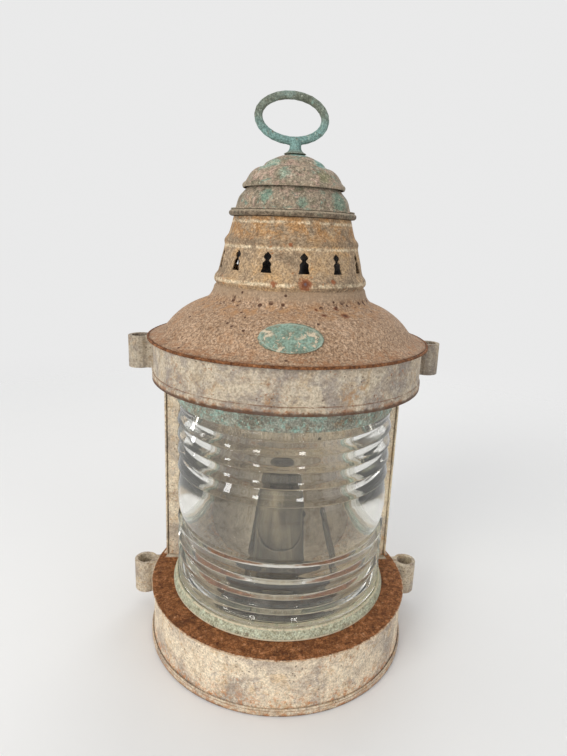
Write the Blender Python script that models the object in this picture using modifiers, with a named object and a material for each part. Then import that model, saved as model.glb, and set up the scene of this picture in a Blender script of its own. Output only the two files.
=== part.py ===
"""Masthead lantern: galvanised body, pressed stepped lens, oil font and burner behind a rear door.

Metres, +Z up. The origin is the centre of the base's underside, and the lens faces -Y.
An azimuth is an angle about the lantern's axis, from the front (-Y) towards +X.
"""
import math

import bmesh
import bpy
from mathutils import Matrix, Vector

# Shared gauges and clearances
sheet = 0.0010
copper_sheet = 0.0009
fit_gap = 0.0003
cut_overrun = 0.002
round_steps = 36
chimney_steps = 26
top_steps = 24
small_steps = 16
fine_steps = 12
knuckle_steps = 8
shell_steps = 22
door_steps = 8
merge_distance = 0.00005

# Base drum
base_step = 0.0050
base_height = 0.0443
pan_rim_height = 0.0060
pan_edge_chamfer = 0.0010
base_wall_taper = 0.0013
shelf_thickness = 0.0012
shelf_overhang = 0.0023
shelf_well_gap = 0.0050
shelf_lip_depth = 0.0040
seat_height = 0.0060
seat_flange = 0.0030

# Stepped lens and its copper frame
lens_radius = 0.0792
lens_wall = 0.0087
lens_half_angle = math.radians(103)
lens_arc_steps = 24
belt_height = 0.0413
belt_sink = 0.0034
belt_points = 7
prism_zone_height = 0.0453
prism_depth = 0.0034
prism_crest_land = 0.0008
prism_height_shares = (0.277, 0.256, 0.249, 0.218)
prism_waist_share = 0.28
prism_waist_drop_share = 0.42
lens_foot_band = 0.0076
lens_top_band = 0.0116
lens_band_step = 0.0014
foot_ring_spread = 0.0036
foot_ring_height = 0.0078
foot_ring_land = 0.0010
foot_ring_lip = 0.0011
collar_height = 0.0157
collar_flange = 0.0090
channel_leg = 0.0042
cheek_flange = 0.0065

# Back shell and door
cheek_reach = 0.0158
shell_foot_flange = 0.0022
door_sill = 0.0117
door_head = 0.0112
door_side_lap = 0.0045
door_half_angle = math.radians(30)
door_overlap = 0.0060
door_bead = 0.0010
door_bead_width = 0.0030
door_bead_inset = 0.0060
hinge_gap = 0.0043
hinge_knuckle_radius = 0.0021
hinge_pin_radius = 0.0011
hinge_bore_clearance = 0.00015
hinge_leaf_thickness = 0.0008
hinge_leaf_width = 0.0120
hinge_knuckle_height = 0.0080
hinge_knuckle_count = 3
hinge_inset = 0.0260
pin_head_height = 0.0010
knob_inset = 0.0083
knob_radius = 0.0050
knob_length = 0.0082
rivet_head_radius = 0.0022
rivet_head_height = 0.0008
catch_rivet_radius = 0.0018
catch_gap = 0.0008
catch_thickness = 0.0007
catch_height = 0.0120
catch_rise = 0.0034
catch_foot = 0.0100

# Hood
hood_gap = 0.0102
skirt_height = 0.0304
skirt_band_height = 0.0056
skirt_band_proud = 0.0007
soffit_lip = 0.0045
dome_overhang = 0.0021
dome_rise = 0.0343
wired_edge_wire = 0.0010
wire_sides = 6
chimney_foot_radius = 0.0516
chimney_rise = 0.0467
chimney_tuck = 0.0050
vent_count = 13
vent_height = 0.0128
vent_width = 0.0072
vent_bottom_share = 0.270
vent_phase = math.radians(6.5)
flue_share = 0.7074
flue_drop = 0.0100
flue_top_rise = 0.0013
flue_bracket_count = 3
flue_bracket_phase = math.radians(30)
flue_bracket_height = 0.0090
bead_ring_spread = 0.0032
bead_ring_inset = 0.0016
bead_ring_height = 0.0036
crown_inset = 0.0012
crown_height = 0.0140
cap_overhang = 0.0034
cap_height = 0.0220
cap_lift = 0.0004
cap_leg_count = 3
cap_leg_phase = math.radians(30)
cap_leg_inset = 0.0028
cap_leg_width = 0.0050

# Hoisting ring
ring_width = 0.0500
ring_height = 0.0334
ring_rod_radius = 0.0028
ring_lean = math.radians(4)
ring_offset = -0.0030
ring_points = 24
stem_foot_radius = 0.0078
stem_height = 0.0085
shank_radius = 0.0030
shank_length = 0.0100
shank_clearance = 0.0003
nut_width = 0.0100
nut_sides = 6
nut_height = 0.0042
washer_radius = 0.0070
washer_thickness = 0.0008

# Blank badge on the dome
badge_width = 0.0390
badge_height = 0.0220
badge_thickness = 0.0008
badge_turn = math.radians(-2.1)
badge_rise_share = 0.370
badge_tilt = math.radians(48)

# Guide lugs
lug_azimuth = math.radians(99.5)
lug_eye_offset = 0.0104
lug_hole_radius = 0.0064
lug_wall = 0.0027
lug_foot_thickness = 0.0020
lug_foot_half_angle = math.radians(8.5)
lug_neck_half_width = 0.0062
lug_neck_flare_share = 1.25
lug_headroom = 0.0064
lower_lug_height = 0.0270
lug_arc_points = 16

# Oil font and burner
font_radius = 0.0380
font_height = 0.0580
font_wall = 0.0010
font_shoulder = 0.0050
font_mouth_radius = 0.0090
collar_ring_radius = 0.0134
collar_ring_height = 0.0060
burner_thread_radius = 0.0102
burner_bore_radius = 0.0088
burner_gallery_radius = 0.0205
burner_gallery_height = 0.0175
burner_wall = 0.0010
gallery_lip = 0.0020
gallery_waist_share = 0.86
gallery_waist_rise_share = 0.45
cone_height = 0.0230
cone_slot_length = 0.0195
cone_slot_width = 0.0060
wick_width = 0.0150
wick_thickness = 0.0020
wick_tube_wall = 0.0006
wick_tube_rise = 0.0330
wick_tuck = 0.0240
spindle_radius = 0.0011
spindle_reach = 0.0400
spindle_height = 0.0090
spur_radius = 0.0034
spur_teeth = 10
spur_tooth_share = 0.78
spur_thickness = 0.0016
spur_window_share = 0.8
spur_window_height = 0.0102
wick_knob_radius = 0.0080
wick_knob_thickness = 0.0034
wick_knob_flutes = 12
wick_knob_flute_share = 0.93
filler_reach_share = 0.6974
filler_azimuth = math.radians(215)
filler_neck_radius = 0.0062
filler_neck_height = 0.0056
filler_bore_radius = 0.0050
filler_cap_height = 0.0056
filler_cap_wall = 0.0010

# Outlines as shares of their own sizes: radius share first, height share second
dome_shares = ((0.00, 1.000), (0.045, 0.850), (0.11, 0.755), (0.21, 0.697), (0.33, 0.632), (0.44, 0.552),
               (0.55, 0.450), (0.65, 0.330), (0.735, 0.200), (0.80, 0.112), (0.87, 0.055), (0.935, 0.020),
               (1.0, 0.0))
chimney_shares = ((0.779, 1.0), (0.841, 0.762), (0.897, 0.670), (0.895, 0.591), (0.942, 0.388),
                  (0.977, 0.227), (1.019, 0.158), (1.031, 0.094), (1.0, 0.036))
crown_shares = ((0.744, 1.0), (0.796, 0.814), (0.848, 0.643), (0.884, 0.457), (0.915, 0.143),
                (0.929, 0.0), (1.0, 0.0))
cap_shares = ((0.259, 0.959), (0.431, 0.850), (0.563, 0.732), (0.608, 0.610), (0.730, 0.577),
              (0.830, 0.459), (0.891, 0.327), (0.937, 0.200), (0.994, 0.118), (1.0, 0.055),
              (0.986, 0.0))
vent_shares = ((0.5, 0.0), (0.43, 0.28), (0.19, 0.42), (0.19, 0.54), (0.33, 0.66), (0.31, 0.80))
cone_shares = ((0.42, 1.0), (0.62, 0.93), (0.80, 0.76), (0.93, 0.48), (1.0, 0.14), (1.0, 0.0))
knob_shares = ((0.60, 1.0), (1.0, 0.756), (1.0, 0.533), (0.44, 0.350), (0.44, 0.122), (0.80, 0.0))
stem_shares = ((0.487, 0.60), (0.52, 0.40), (0.66, 0.20), (1.0, 0.04), (1.0, 0.0))

# Which points of those outlines the inside of the sheet follows
dome_lining = (0, 1, 2, 4, 6, 8, 9, 10, 12)
chimney_lining = (0, 1, 3, 5, 9)
crown_lining = (0, 2, 3, 5, 6)
cap_lining = (0, 1, 3, 5, 7, 9, 11)
cone_lining = (0, 2, 4, 6)

# Radii that follow from the sizes above, outwards from the lens and upwards from the chimney
lens_bore_radius = lens_radius - lens_wall
foot_ring_radius = lens_radius + foot_ring_spread
shell_radius = lens_radius + cheek_reach
base_radius = shell_radius + base_step
skirt_radius = shell_radius + fit_gap
soffit_bore_radius = lens_bore_radius - soffit_lip
dome_rim_radius = skirt_radius + dome_overhang
wired_edge_radius = dome_rim_radius + wired_edge_wire - fit_gap / 3
lug_eye_reach = base_radius + lug_eye_offset
shelf_well_radius = font_radius + shelf_well_gap
filler_reach = font_radius * filler_reach_share
flue_radius = chimney_foot_radius * flue_share
chimney_head_radius = chimney_foot_radius * chimney_shares[0][0]
bead_ring_radius = chimney_head_radius + bead_ring_spread
bead_ring_bore = chimney_head_radius - bead_ring_inset
crown_radius = bead_ring_radius - crown_inset
crown_neck_radius = crown_radius * crown_shares[0][0]
cap_radius = crown_neck_radius + cap_overhang
cap_leg_radius = crown_neck_radius - cap_leg_inset

# Heights and the rest that follow
base_floor = sheet + fit_gap
shelf_bottom = base_height - shelf_thickness
shelf_seat = base_height + fit_gap
lens_bottom = shelf_seat + foot_ring_land + fit_gap
belt_bottom = lens_bottom + lens_foot_band + prism_zone_height
lens_top = belt_bottom + belt_height + prism_zone_height + lens_top_band
hood_bottom = lens_top + hood_gap
hood_seat = hood_bottom - fit_gap
soffit_bottom = hood_bottom + fit_gap / 3
collar_bottom = hood_seat - collar_height
foot_ring_top = shelf_seat + foot_ring_height
channel_bottom = foot_ring_top + fit_gap
channel_top = collar_bottom - fit_gap
shell_bore_radius = shell_radius - sheet
door_opening_width = 2 * (shell_radius * math.sin(door_half_angle) - door_side_lap)
door_opening_bottom = base_height + door_sill
door_opening_height = hood_bottom - door_head - door_opening_bottom
door_radius = shell_radius + fit_gap + sheet
door_bottom = door_opening_bottom - door_overlap
door_top = door_opening_bottom + door_opening_height + door_overlap
hinge_radius = shell_radius + fit_gap + hinge_knuckle_radius
hinge_azimuth = math.pi + door_half_angle + hinge_gap / shell_radius
hinge_span = hinge_knuckle_count * hinge_knuckle_height + (hinge_knuckle_count - 1) * fit_gap
knob_angle = door_half_angle - knob_inset / shell_radius
catch_gap_angle = catch_gap / shell_radius
skirt_bore_radius = skirt_radius - sheet
dome_rim_height = hood_bottom + skirt_height
dome_top = dome_rim_height + dome_rise
dome_neck_radius = chimney_foot_radius + fit_gap + sheet
badge_centre_height = dome_rim_height + dome_rise * badge_rise_share
upper_lug_bottom = hood_bottom + fit_gap
upper_lug_height = skirt_height - lug_headroom
chimney_top = dome_top + chimney_rise
bead_ring_bottom = chimney_top + fit_gap
crown_bottom = bead_ring_bottom + bead_ring_height + fit_gap + copper_sheet
crown_top = crown_bottom + crown_height
cap_bottom = crown_top - cap_lift
cap_top = cap_bottom + cap_height
stem_bottom = cap_top + fit_gap
font_bottom = base_floor + fit_gap
font_top = font_bottom + font_height
collar_ring_bottom = font_top + fit_gap
collar_ring_top = collar_ring_bottom + collar_ring_height
burner_bottom = collar_ring_top + fit_gap
gallery_top = burner_bottom + burner_gallery_height
cone_bottom = gallery_top + fit_gap
cone_top = cone_bottom + cone_height
spindle_z = burner_bottom + spindle_height
wick_tube_bottom = burner_bottom + burner_wall
wick_tube_top = wick_tube_bottom + wick_tube_rise
lower_lug_bottom = shelf_bottom - fit_gap - lower_lug_height

# Colours of the finishes
galvanised = (0.56, 0.52, 0.45)
rusted = (0.36, 0.17, 0.08)
tan_rust = (0.47, 0.32, 0.21)
verdigris = (0.36, 0.52, 0.45)
copper_brown = (0.45, 0.38, 0.31)
dark_bronze = (0.20, 0.19, 0.16)
old_brass = (0.46, 0.35, 0.18)
dark_tin = (0.22, 0.23, 0.25)
clear_glass = (0.90, 0.94, 0.92)
steel_grey = (0.42, 0.42, 0.42)
cotton = (0.72, 0.67, 0.56)


def clear_scene():
    for obj in list(bpy.data.objects):
        bpy.data.objects.remove(obj, do_unlink=True)


def new_collection(name):
    collection = bpy.data.collections.new(name)
    bpy.context.scene.collection.children.link(collection)
    return collection


def finish(obj, colour, roughness, metallic=0.0, transmission=0.0):
    """Give the object its own Principled material."""
    material = bpy.data.materials.new(obj.name + "_finish")
    material.use_nodes = True
    shader = material.node_tree.nodes["Principled BSDF"]
    shader.inputs["Base Color"].default_value = (*colour, 1.0)
    shader.inputs["Roughness"].default_value = roughness
    shader.inputs["Metallic"].default_value = metallic
    shader.inputs["Transmission Weight"].default_value = transmission
    obj.data.materials.clear()
    obj.data.materials.append(material)
    return obj


def add_object(name, data, collection):
    obj = bpy.data.objects.new(name, data)
    collection.objects.link(obj)
    return obj


def polyline_mesh(name, points, closed):
    """A chain of edges in the XZ plane, from (radius, height) points."""
    mesh = bpy.data.meshes.new(name)
    edges = [(i, i + 1) for i in range(len(points) - 1)]
    if closed:
        edges.append((len(points) - 1, 0))
    mesh.from_pydata([(radius, 0.0, height) for radius, height in points], edges, [])
    return mesh


def screw(obj, steps, angle=math.tau):
    modifier = obj.modifiers.new("Turn", "SCREW")
    modifier.axis = "Z"
    modifier.angle = angle
    modifier.steps = steps
    modifier.render_steps = steps
    modifier.use_merge_vertices = True
    modifier.merge_threshold = merge_distance
    modifier.use_smooth_shade = True
    return modifier


def sheet_wall(obj, thickness):
    modifier = obj.modifiers.new("Sheet", "SOLIDIFY")
    modifier.thickness = thickness
    modifier.offset = -1.0
    modifier.use_even_offset = True
    return modifier


def turned(name, points, steps=round_steps, closed=True, collection=None):
    """A full turn of a profile whose outer side runs down; closed unless it ends on the axis."""
    obj = add_object(name, polyline_mesh(name, points, closed), collection or parts)
    screw(obj, steps)
    return obj


def turned_sheet(name, line, thickness, steps, lining, collection=None):
    """A full turn of an outer line, with a plainer inside that follows the numbered points of it."""
    points = list(line) + inside_line(line, thickness, lining)[::-1]
    return turned(name, points, steps, collection=collection)


def inside_line(line, thickness, lining):
    """The plainer inside of a turned sheet, from its top down."""
    inside = offset_line(line, -thickness)
    return [inside[i] for i in lining]


def start_turn(azimuth):
    """Rotation about Z that brings +X to an azimuth."""
    return azimuth - math.pi / 2


def arc_sheet(name, points, thickness, start, end, steps):
    """A part turn of an open outer line between two azimuths, with thickness inwards."""
    obj = add_object(name, polyline_mesh(name, points, closed=False), parts)
    obj.rotation_euler.z = start_turn(start)
    screw(obj, steps, end - start)
    sheet_wall(obj, thickness)
    return obj


def arc_solid(name, points, start, end, steps):
    """A part turn of a closed profile between two azimuths, its two ends closed by flat faces."""
    obj = add_object(name, polyline_mesh(name, points, closed=True), parts)
    obj.rotation_euler.z = start_turn(start)
    screw(obj, steps, end - start)
    bake(obj)
    shape = bmesh.new()
    shape.from_mesh(obj.data)
    rim = [edge for edge in shape.edges if edge.is_boundary]
    bmesh.ops.holes_fill(shape, edges=rim)
    bmesh.ops.recalc_face_normals(shape, faces=shape.faces)
    shape.to_mesh(obj.data)
    shape.free()
    smooth(obj)
    return obj


def bake(obj):
    """Turn an object's modifiers, or a curve's bevel, into a plain welded mesh."""
    bpy.context.view_layer.update()
    evaluated = obj.evaluated_get(bpy.context.evaluated_depsgraph_get())
    mesh = bpy.data.meshes.new_from_object(evaluated)
    shape = bmesh.new()
    shape.from_mesh(mesh)
    bmesh.ops.remove_doubles(shape, verts=shape.verts, dist=merge_distance)
    shape.to_mesh(mesh)
    shape.free()
    if obj.type == "CURVE":
        name = obj.name
        place = obj.matrix_world.copy()
        owner = obj.users_collection[0]
        bpy.data.objects.remove(obj)
        obj = add_object(name, mesh, owner)
        obj.name = name
        obj.matrix_world = place
        return obj
    obj.modifiers.clear()
    obj.data = mesh
    return obj


def smooth(obj, angle=math.radians(35)):
    obj.data.shade_smooth()
    obj.data.set_sharp_from_angle(angle=angle)
    return obj


def flat_outline(name, outlines, thickness, collection=None):
    """A plate in the XY plane from closed outlines; later outlines are holes."""
    curve = bpy.data.curves.new(name, "CURVE")
    curve.dimensions = "2D"
    curve.fill_mode = "BOTH"
    curve.extrude = thickness / 2
    for points in outlines:
        spline = curve.splines.new("POLY")
        spline.points.add(len(points) - 1)
        for point, place in zip(spline.points, points):
            point.co = (place[0], place[1], 0.0, 1.0)
        spline.use_cyclic_u = True
    return bake(add_object(name, curve, collection or parts))


def circle_points(radius, count, centre=(0.0, 0.0), start=0.0, sweep=math.tau):
    """Points round a circle, or along an arc with both of its ends."""
    full = abs(sweep - math.tau) < merge_distance
    spans = count if full else count - 1
    return [(centre[0] + radius * math.cos(start + sweep * i / spans),
             centre[1] + radius * math.sin(start + sweep * i / spans)) for i in range(count)]


def block(name, size, centre, collection=None):
    """A box from a cube primitive."""
    mesh = bpy.data.meshes.new(name)
    shape = bmesh.new()
    bmesh.ops.create_cube(shape, size=1.0)
    bmesh.ops.scale(shape, vec=size, verts=shape.verts)
    shape.to_mesh(mesh)
    shape.free()
    obj = add_object(name, mesh, collection or parts)
    obj.location = centre
    return obj


def cylinder(name, radius, height, centre, steps=small_steps, axis=(0.0, 0.0, 1.0), collection=None):
    """A closed cylinder about an axis through its centre."""
    mesh = bpy.data.meshes.new(name)
    shape = bmesh.new()
    bmesh.ops.create_cone(shape, cap_ends=True, segments=steps, radius1=radius, radius2=radius,
                          depth=height)
    shape.to_mesh(mesh)
    shape.free()
    obj = add_object(name, mesh, collection or parts)
    obj.rotation_euler = Vector(axis).to_track_quat("Z", "Y").to_euler()
    obj.location = centre
    return obj


def as_tool(obj):
    """Keep a cutter or joined-in shape out of the model itself."""
    obj.hide_render = True
    obj.display_type = "WIRE"
    return obj


def combine(obj, tool, operation):
    modifier = obj.modifiers.new(operation.title(), "BOOLEAN")
    modifier.operation = operation
    modifier.object = as_tool(tool)
    return obj


def joined_copies(obj, azimuths):
    """Repeat a cutter's own mesh at several turns about the lantern's axis."""
    source = obj.data
    joined = bmesh.new()
    for azimuth in azimuths:
        turned_mesh = source.copy()
        turned_mesh.transform(Matrix.Rotation(azimuth, 4, "Z") @ obj.matrix_basis)
        joined.from_mesh(turned_mesh)
        bpy.data.meshes.remove(turned_mesh)
    mesh = bpy.data.meshes.new(obj.name)
    joined.to_mesh(mesh)
    joined.free()
    obj.data = mesh
    obj.matrix_basis = Matrix.Identity(4)
    return obj


def placed_copies(obj, places):
    """One object for each placing matrix, all sharing the first one's mesh; names end in numbers."""
    bpy.context.view_layer.update()
    stem = obj.name
    home = obj.matrix_basis.copy()
    copies = []
    for number, place in enumerate(places, start=1):
        copy = obj if number == 1 else add_object(stem, obj.data, parts)
        copy.name = "{}_{}".format(stem, number)
        copy.matrix_basis = place @ home
        copies.append(copy)
    return copies


def turns_about_axis(azimuths):
    return [Matrix.Rotation(azimuth, 4, "Z") for azimuth in azimuths]


def lifts(heights):
    return [Matrix.Translation((0.0, 0.0, height)) for height in heights]


def at(radius, azimuth, height):
    """The point at a radius, an azimuth from the front, and a height."""
    return Vector((radius * math.sin(azimuth), -radius * math.cos(azimuth), height))


def polar(radius, azimuth):
    """The same point in plan."""
    return (radius * math.sin(azimuth), -radius * math.cos(azimuth))


def offset_line(points, distance):
    """Move an outer line outwards along its own normals."""
    moved = []
    for i, (radius, height) in enumerate(points):
        before = Vector(points[max(i - 1, 0)])
        after = Vector(points[min(i + 1, len(points) - 1)])
        along = (after - before).normalized()
        moved.append((radius - along.y * distance, height + along.x * distance))
    return moved


def dome_line():
    span = dome_rim_radius - dome_neck_radius
    return [(dome_neck_radius + radius * span, dome_rim_height + height * dome_rise)
            for radius, height in dome_shares]


# Base drum

def make_base_pan():
    rim = base_radius
    points = [(0.0, sheet), (rim - sheet, sheet), (rim - sheet, pan_rim_height),
              (rim, pan_rim_height), (rim, pan_edge_chamfer), (rim - pan_edge_chamfer, 0.0), (0.0, 0.0)]
    finish(turned("base_pan", points, closed=False), galvanised, 0.75, 0.2)


def base_wall_radius(height):
    """Outer radius of the drum's wall, which narrows a little towards the shelf."""
    foot = base_radius - sheet - fit_gap
    rise = (height - base_floor) / (shelf_bottom - fit_gap - base_floor)
    return foot - base_wall_taper * rise


def make_base_wall():
    top = shelf_bottom - fit_gap
    foot = base_wall_radius(base_floor)
    head = base_wall_radius(top)
    points = [(head, top), (foot, base_floor), (foot - sheet, base_floor), (head - sheet, top)]
    finish(turned("base_wall", points), galvanised, 0.75, 0.2)


def make_base_shelf():
    rim = base_wall_radius(shelf_bottom) + shelf_overhang
    lip = shelf_well_radius + shelf_thickness
    lip_bottom = shelf_bottom - shelf_lip_depth
    points = [(shelf_well_radius, base_height), (rim, base_height), (rim, shelf_bottom), (lip, shelf_bottom),
              (lip, lip_bottom), (shelf_well_radius, lip_bottom)]
    finish(turned("base_shelf", points), rusted, 0.9)


def make_font_seat():
    bore = font_radius + 2 * fit_gap
    outer = bore + sheet
    flange = outer + seat_flange
    points = [(outer, base_floor + seat_height), (outer, base_floor + sheet),
              (flange, base_floor + sheet), (flange, base_floor),
              (bore, base_floor), (bore, base_floor + seat_height)]
    finish(turned("font_seat", points, small_steps), galvanised, 0.7, 0.3)


# Lens and its frame

def lens_line():
    """Outer line of the glass, top to bottom: bands, prisms, and the convex belt between them."""
    groove = lens_radius - prism_depth
    waist = lens_radius - prism_depth * prism_waist_share
    band = lens_radius - lens_band_step
    belt_top = belt_bottom + belt_height
    heights = [share * prism_zone_height for share in prism_height_shares]
    line = [(band, lens_top), (band, belt_top + prism_zone_height)]
    upper = belt_top + prism_zone_height
    for pitch in reversed(heights):
        lower = upper - pitch
        line.append((groove, upper - prism_crest_land))
        line.append((waist, lower + pitch * prism_waist_drop_share))
        line.append((lens_radius, lower + prism_crest_land))
        upper = lower
    for i in range(belt_points):
        share = 2 * i / (belt_points - 1) - 1
        line.append((lens_radius - belt_sink * share * share, belt_top - belt_height * (share + 1) / 2))
    upper = belt_bottom
    for pitch in heights:
        lower = upper - pitch
        line.append((lens_radius, upper - prism_crest_land))
        line.append((waist, upper - pitch * prism_waist_drop_share))
        line.append((groove, lower + prism_crest_land))
        upper = lower
    line.append((lens_radius - fit_gap / 3, upper))
    line.append((lens_radius - fit_gap / 3, lens_bottom))
    return line


def make_lens():
    line = lens_line()
    points = line + [(lens_bore_radius, lens_bottom), (lens_bore_radius, lens_top)]
    lens = arc_solid("fresnel_lens", points, -lens_half_angle, lens_half_angle, lens_arc_steps)
    finish(lens, clear_glass, 0.05, 0.0, 1.0)


def make_foot_ring():
    inner = lens_radius + fit_gap
    head = inner + foot_ring_lip
    bottom = shelf_seat
    points = [(head, foot_ring_top), (foot_ring_radius, bottom + foot_ring_land),
              (foot_ring_radius, bottom), (lens_bore_radius - foot_ring_land, bottom),
              (lens_bore_radius - foot_ring_land, bottom + foot_ring_land),
              (inner, bottom + foot_ring_land), (inner, foot_ring_top)]
    ring = arc_solid("lens_foot_ring", points, -lens_half_angle, lens_half_angle, lens_arc_steps)
    finish(ring, verdigris, 0.7, 0.1)


def make_top_collar():
    outer = lens_radius - lens_band_step + fit_gap + copper_sheet
    flange = outer + collar_flange
    points = [(flange, hood_seat), (flange, hood_seat - copper_sheet), (outer, hood_seat - copper_sheet),
              (outer, collar_bottom), (outer - copper_sheet, collar_bottom), (outer - copper_sheet, hood_seat)]
    collar = arc_solid("lens_top_collar", points, -lens_half_angle, lens_half_angle, lens_arc_steps)
    finish(collar, verdigris, 0.7, 0.2)


def plate_at_azimuth(name, outline, bottom, top, azimuth, side):
    """Extrude a plan outline, drawn as (outwards, past the lens end), upright at an azimuth.

    side is 1 for the lantern's +X side and -1 for its -X side, where the outline is mirrored.
    """
    points = []
    for outwards, past in outline:
        reach = Vector(polar(outwards, azimuth))
        sideways = Vector(polar(past, azimuth + math.pi / 2))
        spot = reach + sideways
        points.append((side * spot.x, spot.y))
    plate = flat_outline(name, [points], top - bottom)
    plate.location.z = (bottom + top) / 2
    return plate


def make_lens_side(side, label):
    """Folded channel over the glass's upright edge, and the cheek that joins it to the shell."""
    inside = lens_bore_radius - 2 * fit_gap - copper_sheet
    outside = lens_radius + fit_gap + copper_sheet
    near = fit_gap
    far = near + copper_sheet
    channel = [(inside, near - channel_leg), (inside + copper_sheet, near - channel_leg),
               (inside + copper_sheet, near), (outside - copper_sheet, near),
               (outside - copper_sheet, near - channel_leg), (outside, near - channel_leg),
               (outside, far), (inside, far)]
    piece = plate_at_azimuth("lens_channel_" + label, channel, channel_bottom, channel_top,
                             lens_half_angle, side)
    finish(piece, verdigris, 0.7, 0.2)
    near = far + fit_gap
    far = near + sheet
    wall = math.sqrt(shell_bore_radius ** 2 - (far + cheek_flange) ** 2) - fit_gap
    cheek = [(inside, near), (wall, near), (wall, far + cheek_flange),
             (wall - sheet, far + cheek_flange), (wall - sheet, far), (inside, far)]
    piece = plate_at_azimuth("lens_cheek_" + label, cheek, shelf_seat, hood_seat,
                             lens_half_angle, side)
    finish(piece, galvanised, 0.75, 0.2)


# Back shell and door

def make_back_shell():
    near = lens_half_angle
    flange = shell_radius + shell_foot_flange
    points = [(shell_radius, hood_seat), (shell_radius, shelf_seat + sheet), (flange, shelf_seat + sheet)]
    shell = arc_sheet("back_shell", points, sheet, near, math.tau - near, shell_steps)
    middle = door_opening_bottom + door_opening_height / 2
    opening = block("door_opening", (door_opening_width, shell_radius / 2, door_opening_height),
                    (0.0, shell_radius, middle), tools)
    combine(shell, opening, "DIFFERENCE")
    finish(shell, galvanised, 0.7, 0.3)


def bead_across(radius, centre):
    """A shallow rolled bead in the door's line, running downwards."""
    half = door_bead_width / 2
    return [(radius, centre + half), (radius + door_bead, centre + half / 3),
            (radius + door_bead, centre - half / 3), (radius, centre - half)]


def make_back_door():
    points = [(door_radius, door_top)]
    points += bead_across(door_radius, door_top - door_bead_inset)
    points += bead_across(door_radius, door_bottom + door_bead_inset)
    points.append((door_radius, door_bottom))
    door = arc_sheet("back_door", points, sheet, math.pi - door_half_angle, math.pi + door_half_angle,
                     door_steps)
    finish(door, galvanised, 0.7, 0.3)


def ring_outline(name, outer, inner, height, steps=knuckle_steps):
    """A short tube standing on z = 0."""
    tube = flat_outline(name, [circle_points(outer, steps), circle_points(inner, steps)], height)
    tube.data.transform(Matrix.Translation((0.0, 0.0, height / 2)))
    return tube


def arc_plate_outline(inner, outer, start, end, count=4):
    """Plan outline of a curved plate between two radii and two azimuths."""
    step = (end - start) / (count - 1)
    there = [polar(outer, start + step * i) for i in range(count)]
    back = [polar(inner, end - step * i) for i in range(count)]
    return there + back


def hinge_leaf(name, inner, direction, heights, knuckles):
    """A leaf curved to what it lies on, with its knuckles rolled round the pin, at several heights."""
    hub = polar(hinge_radius, hinge_azimuth)
    leaf_end = hinge_azimuth + direction * hinge_leaf_width / shell_radius
    root = hinge_azimuth + direction * hinge_knuckle_radius / shell_radius
    outer = inner + hinge_leaf_thickness
    bore = hinge_pin_radius + hinge_bore_clearance
    wall_middle = (hinge_knuckle_radius + bore) / 2
    below_hub = min(hinge_radius - (inner + outer) / 2, wall_middle)
    hold = hinge_azimuth + direction * math.sqrt(wall_middle ** 2 - below_hub ** 2) / shell_radius
    far = flat_outline(name, [arc_plate_outline(inner, outer, root, leaf_end)], hinge_span)
    for i in knuckles:
        low = i * (hinge_knuckle_height + fit_gap) - hinge_span / 2
        tube = ring_outline(name + "_knuckle", hinge_knuckle_radius, bore, hinge_knuckle_height)
        tube.data.transform(Matrix.Translation((hub[0], hub[1], low)))
        lap = root + direction * hinge_leaf_thickness / shell_radius
        inset = hinge_bore_clearance
        link = flat_outline(name + "_link", [arc_plate_outline(inner + inset, outer - inset, hold, lap, 2)],
                            hinge_knuckle_height - inset)
        link.data.transform(Matrix.Translation((0.0, 0.0, low + hinge_knuckle_height / 2)))
        move_to_tools(tube)
        move_to_tools(link)
        combine(far, link, "UNION")
        combine(far, tube, "UNION")
    far = finish(bake(far), galvanised, 0.6, 0.4)
    return placed_copies(far, lifts(heights))


def move_to_tools(obj):
    parts.objects.unlink(obj)
    tools.objects.link(obj)


def make_hinges():
    heights = (door_bottom + hinge_inset, door_top - hinge_inset)
    hinge_leaf("hinge_shell_leaf", shell_radius + fit_gap, 1, heights, (0, 2))
    hinge_leaf("hinge_door_leaf", door_radius + fit_gap, -1, heights, (1,))
    hub = at(hinge_radius, hinge_azimuth, 0.0)
    pin = cylinder("hinge_pin", hinge_pin_radius, hinge_span + 2 * fit_gap, hub, fine_steps)
    head_z = hinge_span / 2 + fit_gap + pin_head_height / 2
    for way in (-1, 1):
        head = cylinder("pin_head", hinge_knuckle_radius, pin_head_height,
                        hub + Vector((0.0, 0.0, way * head_z)), fine_steps, collection=tools)
        combine(pin, head, "UNION")
    pin = finish(bake(pin), steel_grey, 0.5, 0.8)
    placed_copies(pin, lifts(heights))


def radial_turned(name, points, steps, azimuth, height):
    """A turned piece whose axis points outwards from the lantern's axis."""
    piece = turned(name, points, steps, closed=False)
    piece.rotation_euler = at(1.0, azimuth, 0.0).to_track_quat("Z", "Y").to_euler()
    piece.location = at(0.0, azimuth, height)
    return piece


def rivet_line(radius, base, way):
    """Outline of a rivet's head, from its crown to its base; way is 1 outwards and -1 inwards."""
    top = base + way * rivet_head_height
    shoulder = base + way * rivet_head_height / 2
    return [(0.0, top), (radius / 2, top), (radius, shoulder), (radius, base), (0.0, base)]


def make_door_knob():
    azimuth = math.pi - knob_angle
    height = (door_bottom + door_top) / 2
    seat = door_radius + fit_gap
    line = [(radius * knob_radius, seat + reach * knob_length) for radius, reach in knob_shares]
    points = [(0.0, seat + knob_length)] + line + [(0.0, seat)]
    knob = radial_turned("door_knob", points, small_steps, azimuth, height)
    finish(knob, old_brass, 0.5, 0.7)
    inside = door_radius - sheet - fit_gap
    points = rivet_line(rivet_head_radius, inside, -1)[::-1]
    rivet = radial_turned("door_knob_rivet", points, fine_steps, azimuth, height)
    finish(rivet, old_brass, 0.5, 0.7)


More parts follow.
